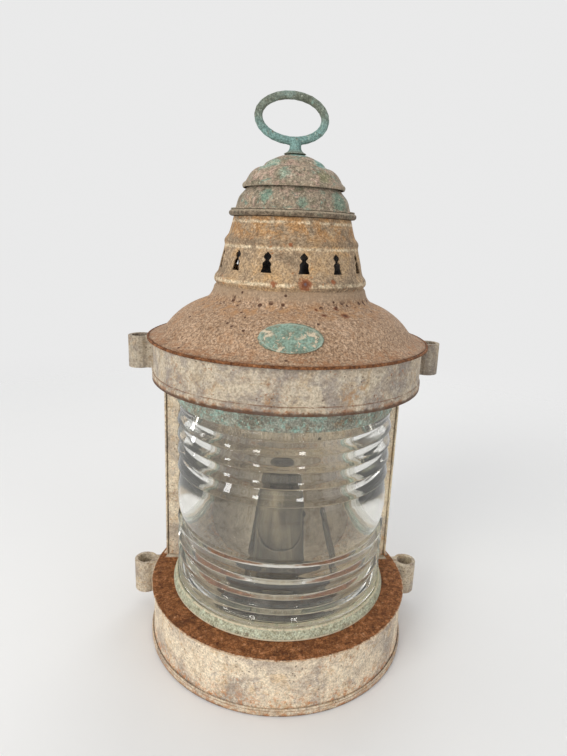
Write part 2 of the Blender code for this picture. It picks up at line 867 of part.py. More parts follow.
def hang_door():
    """Parent what swings with the door to an empty on the hinge's axis, leaving it where it is."""
    axis = add_object("door_axis", None, parts)
    axis.location = at(hinge_radius, hinge_azimuth, (door_bottom + door_top) / 2)
    bpy.context.view_layer.update()
    for name in ("back_door", "hinge_door_leaf_1", "hinge_door_leaf_2", "door_knob", "door_knob_rivet"):
        piece = parts.objects[name]
        piece.parent = axis
        piece.matrix_parent_inverse = axis.matrix_world.inverted()


def make_door_catch():
    """A bent spring strip beside the door's free edge, riveted to the shell."""
    edge = math.pi - door_half_angle - catch_gap_angle
    seat = shell_radius + fit_gap
    back = edge - catch_thickness / shell_radius
    foot_end = back - catch_foot / shell_radius
    top = seat + catch_rise
    foot = arc_plate_outline(seat, seat + catch_thickness, foot_end, back)
    outline = foot[:4] + [polar(top, back), polar(top, edge), polar(seat, edge)] + foot[5:]
    strip = flat_outline("door_catch", [outline], catch_height)
    strip.location.z = (door_bottom + door_top) / 2
    finish(strip, steel_grey, 0.5, 0.7)
    middle = (foot_end + back) / 2
    base = seat + catch_thickness + fit_gap
    points = rivet_line(catch_rivet_radius, base, 1)
    rivet = radial_turned("door_catch_rivet", points, fine_steps, middle, strip.location.z)
    rivet = finish(bake(rivet), steel_grey, 0.5, 0.7)
    spread = catch_height / 4
    placed_copies(rivet, lifts((-spread, spread)))


# Hood

def make_soffit():
    outer = skirt_bore_radius - fit_gap
    top = soffit_bottom + sheet
    points = [(soffit_bore_radius, top), (outer, top), (outer, soffit_bottom),
              (soffit_bore_radius, soffit_bottom)]
    finish(turned("soffit_plate", points), galvanised, 0.75, 0.2)


def make_skirt():
    band = skirt_radius + skirt_band_proud
    edge = skirt_band_proud
    top = skirt_top()
    points = [(skirt_radius, top), (skirt_radius, hood_bottom + skirt_band_height),
              (band, hood_bottom + skirt_band_height - edge), (band, hood_bottom),
              (skirt_bore_radius, hood_bottom), (skirt_bore_radius, top)]
    finish(turned("hood_skirt", points), galvanised, 0.75, 0.2)


def skirt_top():
    """Height where the skirt's outer corner meets the dome's underside, less the clearance."""
    line = offset_line(inside_line(dome_line(), sheet, dome_lining), -fit_gap)
    for (outer, low), (inner, high) in zip(line[::-1], line[-2::-1]):
        if inner <= skirt_radius <= outer:
            return low + (high - low) * (outer - skirt_radius) / (outer - inner)
    return dome_rim_height


def make_dome():
    finish(turned_sheet("dome", dome_line(), sheet, round_steps, dome_lining), tan_rust, 0.9)
    wire_z = dome_rim_height - wired_edge_wire + fit_gap / 3
    points = circle_points(wired_edge_wire, wire_sides, (wired_edge_radius, wire_z), math.pi / wire_sides)
    finish(turned("dome_wired_edge", points[::-1]), rusted, 0.9)


def chimney_line():
    line = [(radius * chimney_foot_radius, dome_top + height * chimney_rise)
            for radius, height in chimney_shares]
    return line + [(chimney_foot_radius, dome_top - chimney_tuck)]


def make_chimney():
    chimney = turned_sheet("chimney", chimney_line(), sheet, chimney_steps, chimney_lining)
    combine(chimney, vent_cutter(), "DIFFERENCE")
    finish(chimney, tan_rust, 0.85)


def vent_cutter():
    """Keyhole prisms through the chimney's wall, one for each vent."""
    right = [(x * vent_width, y * vent_height) for x, y in vent_shares]
    left = [(-x, y) for x, y in reversed(right)]
    outline = right + [(0.0, vent_height)] + left
    reach = chimney_foot_radius - flue_radius - cut_overrun
    middle = flue_radius + cut_overrun + reach / 2 + cut_overrun
    cutter = flat_outline("vent_cutter", [outline], reach + cut_overrun, tools)
    cutter.rotation_euler.x = math.pi / 2
    cutter.location = (0.0, -middle, dome_top + chimney_rise * vent_bottom_share)
    turns = [vent_phase + math.tau * i / vent_count for i in range(vent_count)]
    return joined_copies(cutter, turns)


def make_flue():
    bottom = dome_top - flue_drop
    top = chimney_top + flue_top_rise
    bore = flue_radius - sheet
    points = [(flue_radius, top), (flue_radius, bottom), (bore, bottom), (bore, top)]
    finish(turned("inner_flue", points, top_steps), galvanised, 0.7, 0.3)
    inner = flue_radius + fit_gap
    low = dome_top - chimney_tuck
    lining = inside_line(chimney_line(), sheet, chimney_lining)
    outer = radius_under(lining, low + flue_bracket_height) * math.cos(math.pi / chimney_steps) - fit_gap
    strap = block("flue_bracket", (outer - inner, sheet, flue_bracket_height),
                  ((inner + outer) / 2, 0.0, low + flue_bracket_height / 2))
    turns = [flue_bracket_phase + math.tau * i / flue_bracket_count for i in range(flue_bracket_count)]
    finish(strap, galvanised, 0.7, 0.3)
    placed_copies(strap, turns_about_axis(turns))


def make_crown():
    low = bead_ring_bottom
    high = low + bead_ring_height
    edge = bead_ring_height / 4
    points = [(bead_ring_bore, high), (bead_ring_radius - edge, high), (bead_ring_radius, high - edge),
              (bead_ring_radius, low + edge), (bead_ring_radius - edge, low), (bead_ring_bore, low)]
    finish(turned("crown_bead", points, top_steps), dark_bronze, 0.6, 0.4)
    crown = turned_sheet("crown", crown_line(), copper_sheet, top_steps, crown_lining)
    finish(crown, copper_brown, 0.7, 0.3)


def cap_line():
    hole = shank_radius + shank_clearance
    return [(hole, cap_top)] + [(radius * cap_radius, cap_bottom + height * cap_height)
                                for radius, height in cap_shares]


def make_cap():
    cap = turned_sheet("cap", cap_line(), copper_sheet, top_steps, cap_lining)
    finish(cap, copper_brown, 0.7, 0.3)


def crown_line():
    return [(radius * crown_radius, crown_bottom + height * crown_height) for radius, height in crown_shares]


def cap_ceiling():
    """The cap's inside, less the clearance that what stands under it keeps."""
    return offset_line(inside_line(cap_line(), copper_sheet, cap_lining), -fit_gap)


def height_under(line, radius):
    """Height of a line at a radius, between its two nearest points."""
    for (inner, high), (outer, low) in zip(line, line[1:]):
        if inner <= radius <= outer:
            return high + (low - high) * (radius - inner) / (outer - inner)
    return line[-1][1]


def radius_under(line, height):
    """Radius of a falling line at a height."""
    for (inner, high), (outer, low) in zip(line, line[1:]):
        if low <= height <= high:
            return inner + (outer - inner) * (high - height) / (high - low)
    return line[-1][0]


def make_cap_legs():
    """Three feet inside the crown whose legs hold the cap over the exhaust gap."""
    lining = offset_line(inside_line(crown_line(), copper_sheet, crown_lining), -fit_gap)
    foot_top = crown_bottom + crown_height / 2
    foot_bottom = foot_top - copper_sheet
    inner = cap_leg_radius
    outer = inner + copper_sheet
    toe = radius_under(lining, foot_top) - fit_gap
    head = height_under(cap_ceiling(), outer)
    outline = [(inner, foot_bottom), (toe, foot_bottom), (toe, foot_top), (outer, foot_top),
               (outer, head), (inner, head)]
    leg = flat_outline("cap_leg", [outline], cap_leg_width)
    leg.rotation_euler.x = math.pi / 2
    turns = [cap_leg_phase + math.tau * i / cap_leg_count for i in range(cap_leg_count)]
    finish(leg, copper_brown, 0.7, 0.3)
    placed_copies(leg, turns_about_axis(turns))


# Hoisting ring

def make_hoisting_ring():
    half_width = ring_width / 2 - ring_rod_radius
    half_height = ring_height / 2 - ring_rod_radius
    curve = bpy.data.curves.new("hoisting_ring", "CURVE")
    curve.dimensions = "3D"
    curve.bevel_depth = ring_rod_radius
    curve.bevel_resolution = 2
    spline = curve.splines.new("POLY")
    spline.points.add(ring_points - 1)
    for i, point in enumerate(spline.points):
        angle = math.tau * i / ring_points
        point.co = (half_width * math.cos(angle), 0.0, half_height * math.sin(angle), 1.0)
    spline.use_cyclic_u = True
    oval = add_object("hoisting_ring", curve, parts)
    oval = bake(oval)
    centre_above_stem = stem_height + half_height
    lean = Matrix.Rotation(ring_lean, 4, "Y")
    oval.data.transform(Matrix.Translation((ring_offset, 0.0, centre_above_stem)) @ lean)
    oval.location.z = stem_bottom
    top = stem_bottom + stem_height + ring_rod_radius / 2
    line = [(radius * stem_foot_radius, stem_bottom + height * stem_height) for radius, height in stem_shares]
    shank_end = stem_bottom - shank_length
    points = [(0.0, top), (line[0][0], top)] + line
    points += [(shank_radius, stem_bottom), (shank_radius, shank_end), (0.0, shank_end)]
    stem = turned("ring_stem", points, fine_steps, closed=False, collection=tools)
    combine(oval, stem, "UNION")
    finish(oval, verdigris, 0.7, 0.2)


def make_ring_fasteners():
    washer_top = height_under(cap_ceiling(), washer_radius)
    washer_bottom = washer_top - washer_thickness
    bore = shank_radius + shank_clearance
    points = [(washer_radius, washer_top), (washer_radius, washer_bottom),
              (bore, washer_bottom), (bore, washer_top)]
    finish(turned("ring_washer", points, small_steps), steel_grey, 0.6, 0.6)
    nut_top = washer_bottom - fit_gap
    corner = nut_width / 2 / math.cos(math.pi / nut_sides)
    outline = circle_points(corner, nut_sides)
    nut = flat_outline("ring_nut", [outline, circle_points(bore, fine_steps)], nut_height)
    nut.location.z = nut_top - nut_height / 2
    finish(nut, steel_grey, 0.6, 0.6)


# Badge

def make_badge():
    """A blank oval plate that follows the dome, cut from a layer over it."""
    layer = offset_line(dome_line(), fit_gap + badge_thickness)
    badge = turned_sheet("badge", layer, badge_thickness, round_steps, range(len(layer)))
    outline = [(badge_width / 2 * x, badge_height / 2 * y) for x, y in circle_points(1.0, small_steps)]
    tool = flat_outline("badge_outline", [outline], badge_height, tools)
    tool.rotation_euler.x = math.pi / 2 - badge_tilt
    centre = radius_under(dome_line(), badge_centre_height)
    tool.location = (0.0, -centre, badge_centre_height)
    joined_copies(tool, [badge_turn])
    combine(badge, tool, "INTERSECT")
    finish(badge, verdigris, 0.7, 0.1)


# Guide lugs

def lug_outline(seat):
    """Plan outline of a strap bent into an eye, at the front, with its feet along a round wall."""
    eye = lug_hole_radius + lug_wall
    top = seat + lug_foot_thickness
    count = 4
    step = lug_foot_half_angle / (count - 1)
    neck_angle = math.asin(lug_neck_half_width / top)
    join = math.asin(lug_neck_half_width / eye)
    start = math.pi / 2 + join
    arc = circle_points(eye, lug_arc_points, (0.0, -lug_eye_reach), start, math.tau - 2 * join)
    outer = [polar(seat, lug_foot_half_angle - step * i) for i in range(2 * count - 1)]
    outer.append(polar(top, -lug_foot_half_angle))
    outer.append(polar(top, -neck_angle * lug_neck_flare_share))
    outer.append((-lug_neck_half_width, -top - lug_foot_thickness / 4))
    outer += arc
    outer.append((lug_neck_half_width, -top - lug_foot_thickness / 4))
    outer.append(polar(top, neck_angle * lug_neck_flare_share))
    outer.append(polar(top, lug_foot_half_angle))
    return outer


def make_lug(name, seat, bottom, height, azimuth):
    hole = circle_points(lug_hole_radius, lug_arc_points, (0.0, -lug_eye_reach))
    lug = flat_outline(name, [lug_outline(seat), hole], height)
    lug.location.z = bottom + height / 2
    lug.rotation_euler.z = azimuth
    finish(lug, galvanised, 0.75, 0.2)


def make_lugs():
    upper_seat = skirt_radius + skirt_band_proud + fit_gap
    lower_seat = base_wall_radius(lower_lug_bottom) + fit_gap
    for label, side in (("left", -1), ("right", 1)):
        azimuth = side * lug_azimuth
        make_lug("guide_lug_upper_" + label, upper_seat, upper_lug_bottom, upper_lug_height, azimuth)
        make_lug("guide_lug_lower_" + label, lower_seat, lower_lug_bottom, lower_lug_height, azimuth)


# Oil font

def make_font():
    radius = font_radius
    inner = radius - font_wall
    floor = font_bottom + font_wall
    ceiling = font_top - font_wall
    shoulder = font_shoulder
    chamfer = font_shoulder / 2
    points = [(font_mouth_radius, font_top), (radius - shoulder, font_top),
              (radius - chamfer / 2, font_top - chamfer), (radius, font_top - shoulder),
              (radius, font_bottom + chamfer), (radius - chamfer, font_bottom), (0.0, font_bottom)]
    lining = [(0.0, floor), (inner - chamfer, floor), (inner, font_bottom + chamfer),
              (inner, font_top - shoulder), (inner - shoulder, ceiling), (font_mouth_radius, ceiling)]
    loop = lining + points
    font = turned("oil_font", loop, small_steps, closed=False)
    hole = cylinder("filler_hole", filler_bore_radius, font_shoulder,
                    at(filler_reach, filler_azimuth, font_top), fine_steps, collection=tools)
    combine(font, hole, "DIFFERENCE")
    finish(font, dark_tin, 0.45, 0.7)


def make_font_collar():
    bore = burner_thread_radius + fit_gap
    low = collar_ring_bottom
    high = collar_ring_top
    waist = collar_ring_radius - sheet
    points = [(collar_ring_radius, high), (collar_ring_radius, high - collar_ring_height / 3),
              (waist, high - collar_ring_height / 2), (waist, low + sheet),
              (collar_ring_radius, low + sheet / 2), (collar_ring_radius, low), (bore, low), (bore, high)]
    finish(turned("font_collar", points, small_steps), old_brass, 0.45, 0.8)


def make_burner_base():
    """Threaded neck and flared gallery, open at the top."""
    wall = burner_wall
    low = collar_ring_bottom + fit_gap
    rest = burner_bottom
    middle = rest + burner_gallery_height * gallery_waist_rise_share
    rim = burner_gallery_radius
    waist = rim * gallery_waist_share
    points = [(rim, gallery_top), (rim, gallery_top - gallery_lip), (waist, middle),
              (collar_ring_radius, rest + wall), (collar_ring_radius, rest),
              (burner_thread_radius, rest), (burner_thread_radius, low), (burner_bore_radius, low),
              (burner_bore_radius, rest + wall), (collar_ring_radius - wall, rest + wall * 2),
              (waist - wall, middle + wall / 2), (rim - wall, gallery_top - wall), (rim - wall, gallery_top)]
    burner = turned("burner_base", points, small_steps)
    hole = cylinder("spindle_hole", spindle_radius + fit_gap, spindle_reach,
                    (spindle_reach / 2, spindle_y(), spindle_z), fine_steps,
                    (1.0, 0.0, 0.0), tools)
    combine(burner, hole, "DIFFERENCE")
    finish(burner, old_brass, 0.45, 0.8)


def spindle_y():
    """The spindle lies in front of the wick, so that its spurs just reach it."""
    return -(wick_thickness / 2 + fit_gap + spur_radius)


def make_burner_cone():
    rim = burner_gallery_radius
    line = [(radius * rim, cone_bottom + height * cone_height) for radius, height in cone_shares]
    cone = turned_sheet("burner_cone", [(0.0, cone_top)] + line, burner_wall, small_steps, cone_lining)
    slot = block("cone_slot", (cone_slot_length, cone_slot_width, cone_height / 2),
                 (0.0, 0.0, cone_top), tools)
    combine(cone, slot, "DIFFERENCE")
    finish(cone, old_brass, 0.45, 0.8)


def make_wick_tube():
    inner_x = wick_width / 2 + fit_gap
    inner_y = wick_thickness / 2 + fit_gap
    outer_x = inner_x + wick_tube_wall
    outer_y = inner_y + wick_tube_wall
    outline = [(outer_x, outer_y), (-outer_x, outer_y), (-outer_x, -outer_y), (outer_x, -outer_y)]
    bore = [(inner_x, inner_y), (-inner_x, inner_y), (-inner_x, -inner_y), (inner_x, -inner_y)]
    height = wick_tube_top - wick_tube_bottom
    tube = flat_outline("wick_tube", [outline, bore], height)
    tube.location.z = wick_tube_bottom + height / 2
    window = block("spur_window", (spur_window_width(), 2 * (wick_tube_wall + fit_gap), spur_window_height),
                   (0.0, -outer_y, spindle_z), tools)
    combine(tube, window, "DIFFERENCE")
    finish(tube, old_brass, 0.5, 0.8)


def spur_window_width():
    return wick_width * spur_window_share


def make_wick():
    top = wick_tube_top - fit_gap
    bottom = wick_tube_bottom - wick_tuck
    wick = block("wick", (wick_width, wick_thickness, top - bottom), (0.0, 0.0, (top + bottom) / 2))
    finish(wick, cotton, 0.95)


def make_spindle():
    """Spindle with two spur wheels at the wick and a fluted knob outside the burner."""
    y = spindle_y()
    start = -spur_window_width() / 2
    length = spindle_reach - start
    spindle = cylinder("wick_spindle", spindle_radius, length, ((start + spindle_reach) / 2, y, spindle_z),
                       knuckle_steps, (1.0, 0.0, 0.0))
    for place in (-wick_width / 4, wick_width / 4):
        star = []
        for i in range(spur_teeth * 2):
            reach = spur_radius if i % 2 else spur_radius * spur_tooth_share
            angle = math.tau * i / (spur_teeth * 2)
            star.append((reach * math.cos(angle), reach * math.sin(angle)))
        wheel = flat_outline("spur_wheel", [star], spur_thickness, tools)
        wheel.rotation_euler.y = math.pi / 2
        wheel.location = (place, y, spindle_z)
        combine(spindle, wheel, "UNION")
    spindle = bake(spindle)
    finish(spindle, old_brass, 0.5, 0.8)
    flutes = []
    for i in range(wick_knob_flutes * 2):
        reach = wick_knob_radius * (wick_knob_flute_share if i % 2 else 1.0)
        angle = math.tau * i / (wick_knob_flutes * 2)
        flutes.append((reach * math.cos(angle), reach * math.sin(angle)))
    bore = circle_points(spindle_radius + fit_gap, knuckle_steps)
    knob = flat_outline("wick_knob", [flutes, bore], wick_knob_thickness)
    knob.rotation_euler.y = math.pi / 2
    knob.location = (spindle_reach - wick_knob_thickness / 2, y, spindle_z)
    finish(knob, old_brass, 0.5, 0.8)


def make_filler():
    low = font_top + fit_gap
    neck_top = low + filler_neck_height
    base = Vector(at(filler_reach, filler_azimuth, 0.0))
    points = [(filler_neck_radius, neck_top), (filler_neck_radius, low),
              (filler_bore_radius, low), (filler_bore_radius, neck_top)]
    neck = turned("filler_neck", points, fine_steps)
    neck.location = base
    finish(neck, old_brass, 0.5, 0.8)
    inner = filler_neck_radius + fit_gap
    outer = inner + filler_cap_wall
    skirt = neck_top + fit_gap + filler_cap_wall - filler_cap_height
    top = neck_top + fit_gap + filler_cap_wall
    edge = filler_cap_wall / 2
    points = [(0.0, top), (outer - edge, top), (outer, top - edge), (outer, skirt),
              (inner, skirt), (inner, neck_top + fit_gap), (0.0, neck_top + fit_gap)]
    cap = turned("filler_cap", points, small_steps, closed=False)
    cap.location = base
    finish(cap, old_brass, 0.5, 0.8)


clear_scene()
parts = new_collection("masthead_lantern")
tools = new_collection("cutters")

make_base_pan()
make_base_wall()
make_base_shelf()
make_font_seat()
make_lens()
make_foot_ring()
make_top_collar()
for side, label in ((1, "right"), (-1, "left")):
    make_lens_side(side, label)
make_back_shell()
make_back_door()
make_hinges()
make_door_knob()
hang_door()
make_door_catch()
make_soffit()
make_skirt()
make_dome()
make_chimney()
make_flue()
make_crown()
make_cap()
make_cap_legs()
make_hoisting_ring()
make_ring_fasteners()
make_badge()
make_lugs()
make_font()
make_font_collar()
make_burner_base()
make_burner_cone()
make_wick_tube()
make_wick()
make_spindle()
make_filler()
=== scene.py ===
import math

import bmesh
import bpy
from mathutils import Matrix, Vector, noise


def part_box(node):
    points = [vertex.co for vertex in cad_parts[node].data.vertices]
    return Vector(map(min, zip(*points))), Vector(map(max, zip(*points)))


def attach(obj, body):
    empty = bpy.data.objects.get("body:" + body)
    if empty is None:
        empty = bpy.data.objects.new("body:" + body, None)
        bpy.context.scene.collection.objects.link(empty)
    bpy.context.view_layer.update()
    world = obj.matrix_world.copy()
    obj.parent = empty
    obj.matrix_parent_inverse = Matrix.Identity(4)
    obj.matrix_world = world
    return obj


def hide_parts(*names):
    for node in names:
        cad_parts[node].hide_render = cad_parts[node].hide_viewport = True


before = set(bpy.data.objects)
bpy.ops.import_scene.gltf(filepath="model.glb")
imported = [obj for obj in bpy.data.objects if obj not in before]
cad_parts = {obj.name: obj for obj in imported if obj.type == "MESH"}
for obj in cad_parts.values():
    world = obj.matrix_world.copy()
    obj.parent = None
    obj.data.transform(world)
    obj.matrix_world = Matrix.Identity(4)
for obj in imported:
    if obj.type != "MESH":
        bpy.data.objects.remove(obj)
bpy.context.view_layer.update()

# Camera, fitted to the photograph; the frame is 567 x 756
frame_height_px = 756
focal_px = 560
sensor_mm = 36.0
camera_distance = 0.400
camera_height = 0.3101
camera_azimuth = math.radians(-3.5)
camera_yaw = math.radians(-0.25)
camera_pitch = math.radians(14.71)
camera_roll = math.radians(2.31)

# Fineness of the surfaces
plane_slack = 0.00001
weld_distance = 0.000004
full_steps = 192
small_steps = 72
corner_angle = math.radians(50)
sharp_angle = math.radians(38)
sheet_fillet = 0.00028
curve_span = 0.0009
cast_span = 0.0022
remesh_scale = 100.0
hinge_bevel = 0.00008

# Dents that the thin metal has picked up, the same for neighbouring pieces
dent_depth = 0.00035
dent_span = 0.045
ripple_depth = 0.00012
ripple_span = 0.011
dent_free_height = 0.006
dent_full_height = 0.030
dent_full_radius = 0.030

# Cuts that the turned pieces keep
vent_count = 13
vent_phase = math.radians(6.5)
vent_height = 0.0128
vent_width = 0.0072
vent_bottom_share = 0.270
vent_shares = ((0.50, 0.0), (0.46, 0.10), (0.40, 0.20), (0.37, 0.28), (0.40, 0.36), (0.42, 0.43), (0.36, 0.49),
               (0.24, 0.54), (0.18, 0.59), (0.22, 0.64), (0.33, 0.70), (0.36, 0.77), (0.30, 0.84), (0.18, 0.90),
               (0.10, 0.95))
vent_cut_inset = 0.002
vent_cut_reach = 0.004
filler_bore = 0.0050
filler_bore_reach = 0.003
spindle_bore = 0.0014
spindle_bore_ends = (0.002, 0.040)
cone_slot = (0.0195, 0.0060)
cone_slot_depth = 0.00575
door_opening = (0.0430, 0.056, 0.196)
door_cut_depths = (0.050, 0.120)

# Outline of the solder seam between chimney and dome: (radius, height above the neck)
seam_outline = ((0.0512, 0.0020), (0.0520, 0.0012), (0.0529, 0.0002), (0.0533, -0.0008), (0.0526, -0.0012),
                (0.0512, -0.0004))

# Places and strengths that the finishes share
skirt_band_height = 0.0056
badge_turn = math.radians(-2.1)
pit_row = (0.0545, 0.0572)
beyond = 9.0  # a radius that no surface reaches
grain_range = (0.34, 0.66)

# Studio: the floor fades between two radii, and the sky is shown paler than it lights
floor_tone = (236, 235, 233)
floor_fade = (0.40, 1.10)
sky_light = 0.55
sky_shown = 0.82
glass_clearness = 0.975
lamp_target = Vector((0.0, 0.0, 0.20))
window_azimuths = (-108, -58, -28, 15)
window_size = (0.13, 0.17)
window_power = 0.9


def linear(red, green, blue):
    """A display colour, 0 to 255 each, as the linear values that shaders use."""
    out = []
    for value in (red, green, blue):
        share = value / 255
        out.append(share / 12.92 if share <= 0.04045 else ((share + 0.055) / 1.055) ** 2.4)
    return (*out, 1.0)


def at(radius, azimuth, height):
    """A point by its distance from the lantern's axis, its azimuth from the front, and its height."""
    return Vector((radius * math.sin(azimuth), -radius * math.cos(azimuth), height))


# Rust blots: (point, size) and, on the chimney, whether the blot has a grey core
dome_blots = ((at(0.0644, math.radians(29.5), 0.2606), 0.0036), (at(0.0573, math.radians(27.6), 0.2640), 0.0022),
              (at(0.0636, math.radians(16.4), 0.2609), 0.0022), (at(0.0576, math.radians(13.5), 0.2637), 0.0014))
chimney_blots = ((at(0.0521, math.radians(7.0), 0.2785), 0.0052, True),
                 (at(0.0521, math.radians(-14.5), 0.2780), 0.0026, False),
                 (at(0.0516, math.radians(28.0), 0.2800), 0.0022, False),
                 (at(0.0460, math.radians(-4.0), 0.3020), 0.0016, False))


class Patina:
    """A node material in object coordinates, built up layer by layer."""

    def __init__(self, name, level=1.0):
        self.level = level
        self.material = bpy.data.materials.new(name)
        self.material.use_nodes = True
        self.tree = self.material.node_tree
        self.shader = self.tree.nodes["Principled BSDF"]
        self.place = self.add("ShaderNodeTexCoord").outputs["Object"]
        split = self.add("ShaderNodeSeparateXYZ")
        self.link(self.place, split.inputs[0])
        self.across = split.outputs["X"]
        self.depth = split.outputs["Y"]
        self.height = split.outputs["Z"]
        flat = self.add("ShaderNodeCombineXYZ")
        self.link(self.across, flat.inputs["X"])
        self.link(self.depth, flat.inputs["Y"])
        length = self.add("ShaderNodeVectorMath")
        length.operation = "LENGTH"
        self.link(flat.outputs[0], length.inputs[0])
        self.radius = length.outputs["Value"]
        self.colour = None

    def add(self, kind):
        return self.tree.nodes.new(kind)

    def link(self, source, target):
        """Connect a socket, or set a plain number or colour."""
        if isinstance(source, bpy.types.NodeSocket):
            self.tree.links.new(source, target)
        else:
            target.default_value = source

    def shifted(self, shift, stretch=None):
        """The place, moved so that two noises of one size differ."""
        node = self.add("ShaderNodeMapping")
        self.link(self.place, node.inputs["Vector"])
        node.inputs["Location"].default_value = (shift, shift * 1.7, shift * 0.6)
        if stretch:
            node.inputs["Scale"].default_value = stretch
        return node.outputs[0]

    def noise(self, size, detail=3.0, roughness=0.6, distortion=0.0, shift=0.0, stretch=None):
        """Noise whose features are about as large as size, in metres."""
        node = self.add("ShaderNodeTexNoise")
        self.link(self.shifted(shift, stretch), node.inputs["Vector"])
        node.inputs["Scale"].default_value = 1 / size
        node.inputs["Detail"].default_value = detail
        node.inputs["Roughness"].default_value = roughness
        node.inputs["Distortion"].default_value = distortion
        return node.outputs["Fac"]

    def cells(self, size, shift=0.0, randomness=1.0):
        """Distance to the nearest of scattered points about size apart, as a share of size."""
        node = self.add("ShaderNodeTexVoronoi")
        self.link(self.shifted(shift), node.inputs["Vector"])
        node.inputs["Scale"].default_value = 1 / size
        node.inputs["Randomness"].default_value = randomness
        return node.outputs["Distance"]

    def step(self, value, low, high):
        """Smooth rise from 0 at low to 1 at high; it falls where low is the larger."""
        node = self.add("ShaderNodeMapRange")
        node.interpolation_type = "SMOOTHSTEP"
        self.link(value, node.inputs["Value"])
        node.inputs["From Min"].default_value = low
        node.inputs["From Max"].default_value = high
        return node.outputs["Result"]

    def patch(self, low, high, *noise):
        """Patches of noise, 0 where it is below low and 1 where it is above high."""
        return self.step(self.noise(*noise), low, high)

    def math(self, operation, *values):
        node = self.add("ShaderNodeMath")
        node.operation = operation
        for value, socket in zip(values, node.inputs):
            self.link(value, socket)
        return node.outputs[0]

    def torn(self, value, reach, *noise):
        """A height or radius that a noise makes ragged, by up to reach."""
        return self.math("MULTIPLY_ADD", self.noise(*noise), reach, value)

    def weighted(self, first, share, second, weight):
        return self.math("ADD", self.both(first, share), self.both(second, weight))

    def both(self, first, second):
        return self.math("MULTIPLY", first, second)

    def either(self, first, second):
        return self.math("MAXIMUM", first, second)

    def band(self, value, low, high, soft):
        """1 between low and high, with soft edges."""
        return self.both(self.step(value, low - soft, low + soft), self.step(value, high + soft, high - soft))

    def spot(self, centre, size, ragged=0.5, shift=0.0):
        """A ragged blot about a point."""
        node = self.add("ShaderNodeVectorMath")
        node.operation = "DISTANCE"
        self.link(self.place, node.inputs[0])
        node.inputs[1].default_value = centre
        edge = self.torn(size * ragged * 1.3, -size * ragged * 2.6, size * 0.5, 6.0, 0.85, 0.0, shift)
        distance = self.math("ADD", node.outputs["Value"], edge)
        return self.step(distance, size, size * 0.55)

    def shade(self, colour):
        """A display colour as a linear one, made lighter or darker by this finish's level."""
        return linear(*(channel * self.level for channel in colour))

    def tones(self, value, *stops):
        """Colour by value; each stop is a place and a display colour."""
        node = self.add("ShaderNodeValToRGB")
        ramp = node.color_ramp
        while len(ramp.elements) < len(stops):
            ramp.elements.new(0.5)
        for element, (place, colour) in zip(ramp.elements, stops):
            element.position = place
            element.color = self.shade(colour)
        self.link(value, node.inputs[0])
        return node.outputs["Color"]

    def cover(self, share, top):
        """Lay a colour over the one that is there, as far as share says."""
        node = self.add("ShaderNodeMix")
        node.data_type = "RGBA"
        self.link(share, node.inputs[0])
        self.link(self.colour, node.inputs[6])
        self.link(top, node.inputs[7])
        self.colour = node.outputs[2]

    def over(self, share, strength, top):
        """Lay a display colour over what is there, where share says and as strongly as strength."""
        self.cover(self.both(share, strength), self.shade(top))

    def grained(self, colour, value, amount):
        """A colour made lighter and darker by a noise, by up to amount either way."""
        node = self.add("ShaderNodeHueSaturation")
        self.link(colour, node.inputs["Color"])
        level = self.math("MULTIPLY_ADD", self.step(value, *grain_range), 2 * amount, 1 - amount)
        self.link(level, node.inputs["Value"])
        return node.outputs["Color"]

    def grain(self, value, amount):
        self.colour = self.grained(self.colour, value, amount)

    def bump(self, height, relief, strength):
        node = self.add("ShaderNodeBump")
        node.inputs["Distance"].default_value = relief
        node.inputs["Strength"].default_value = strength
        self.link(height, node.inputs["Height"])
        self.link(node.outputs[0], self.shader.inputs["Normal"])

    def see_through(self, share, tint=(1.0, 1.0, 1.0, 1.0)):
        """Let what lies behind show, as far as share says."""
        clear = self.add("ShaderNodeBsdfTransparent")
        clear.inputs["Color"].default_value = tint
        choose = self.add("ShaderNodeMixShader")
        self.link(share, choose.inputs[0])
        self.link(self.shader.outputs[0], choose.inputs[1])
        self.link(clear.outputs[0], choose.inputs[2])
        self.link(choose.outputs[0], self.tree.nodes["Material Output"].inputs["Surface"])

    def finish(self, roughness, metallic, height, relief, strength=0.6):
        self.link(self.colour, self.shader.inputs["Base Color"])
        self.link(roughness, self.shader.inputs["Roughness"])
        self.shader.inputs["Metallic"].default_value = metallic
        self.bump(height, relief, strength)
        return self.material


# Finishes

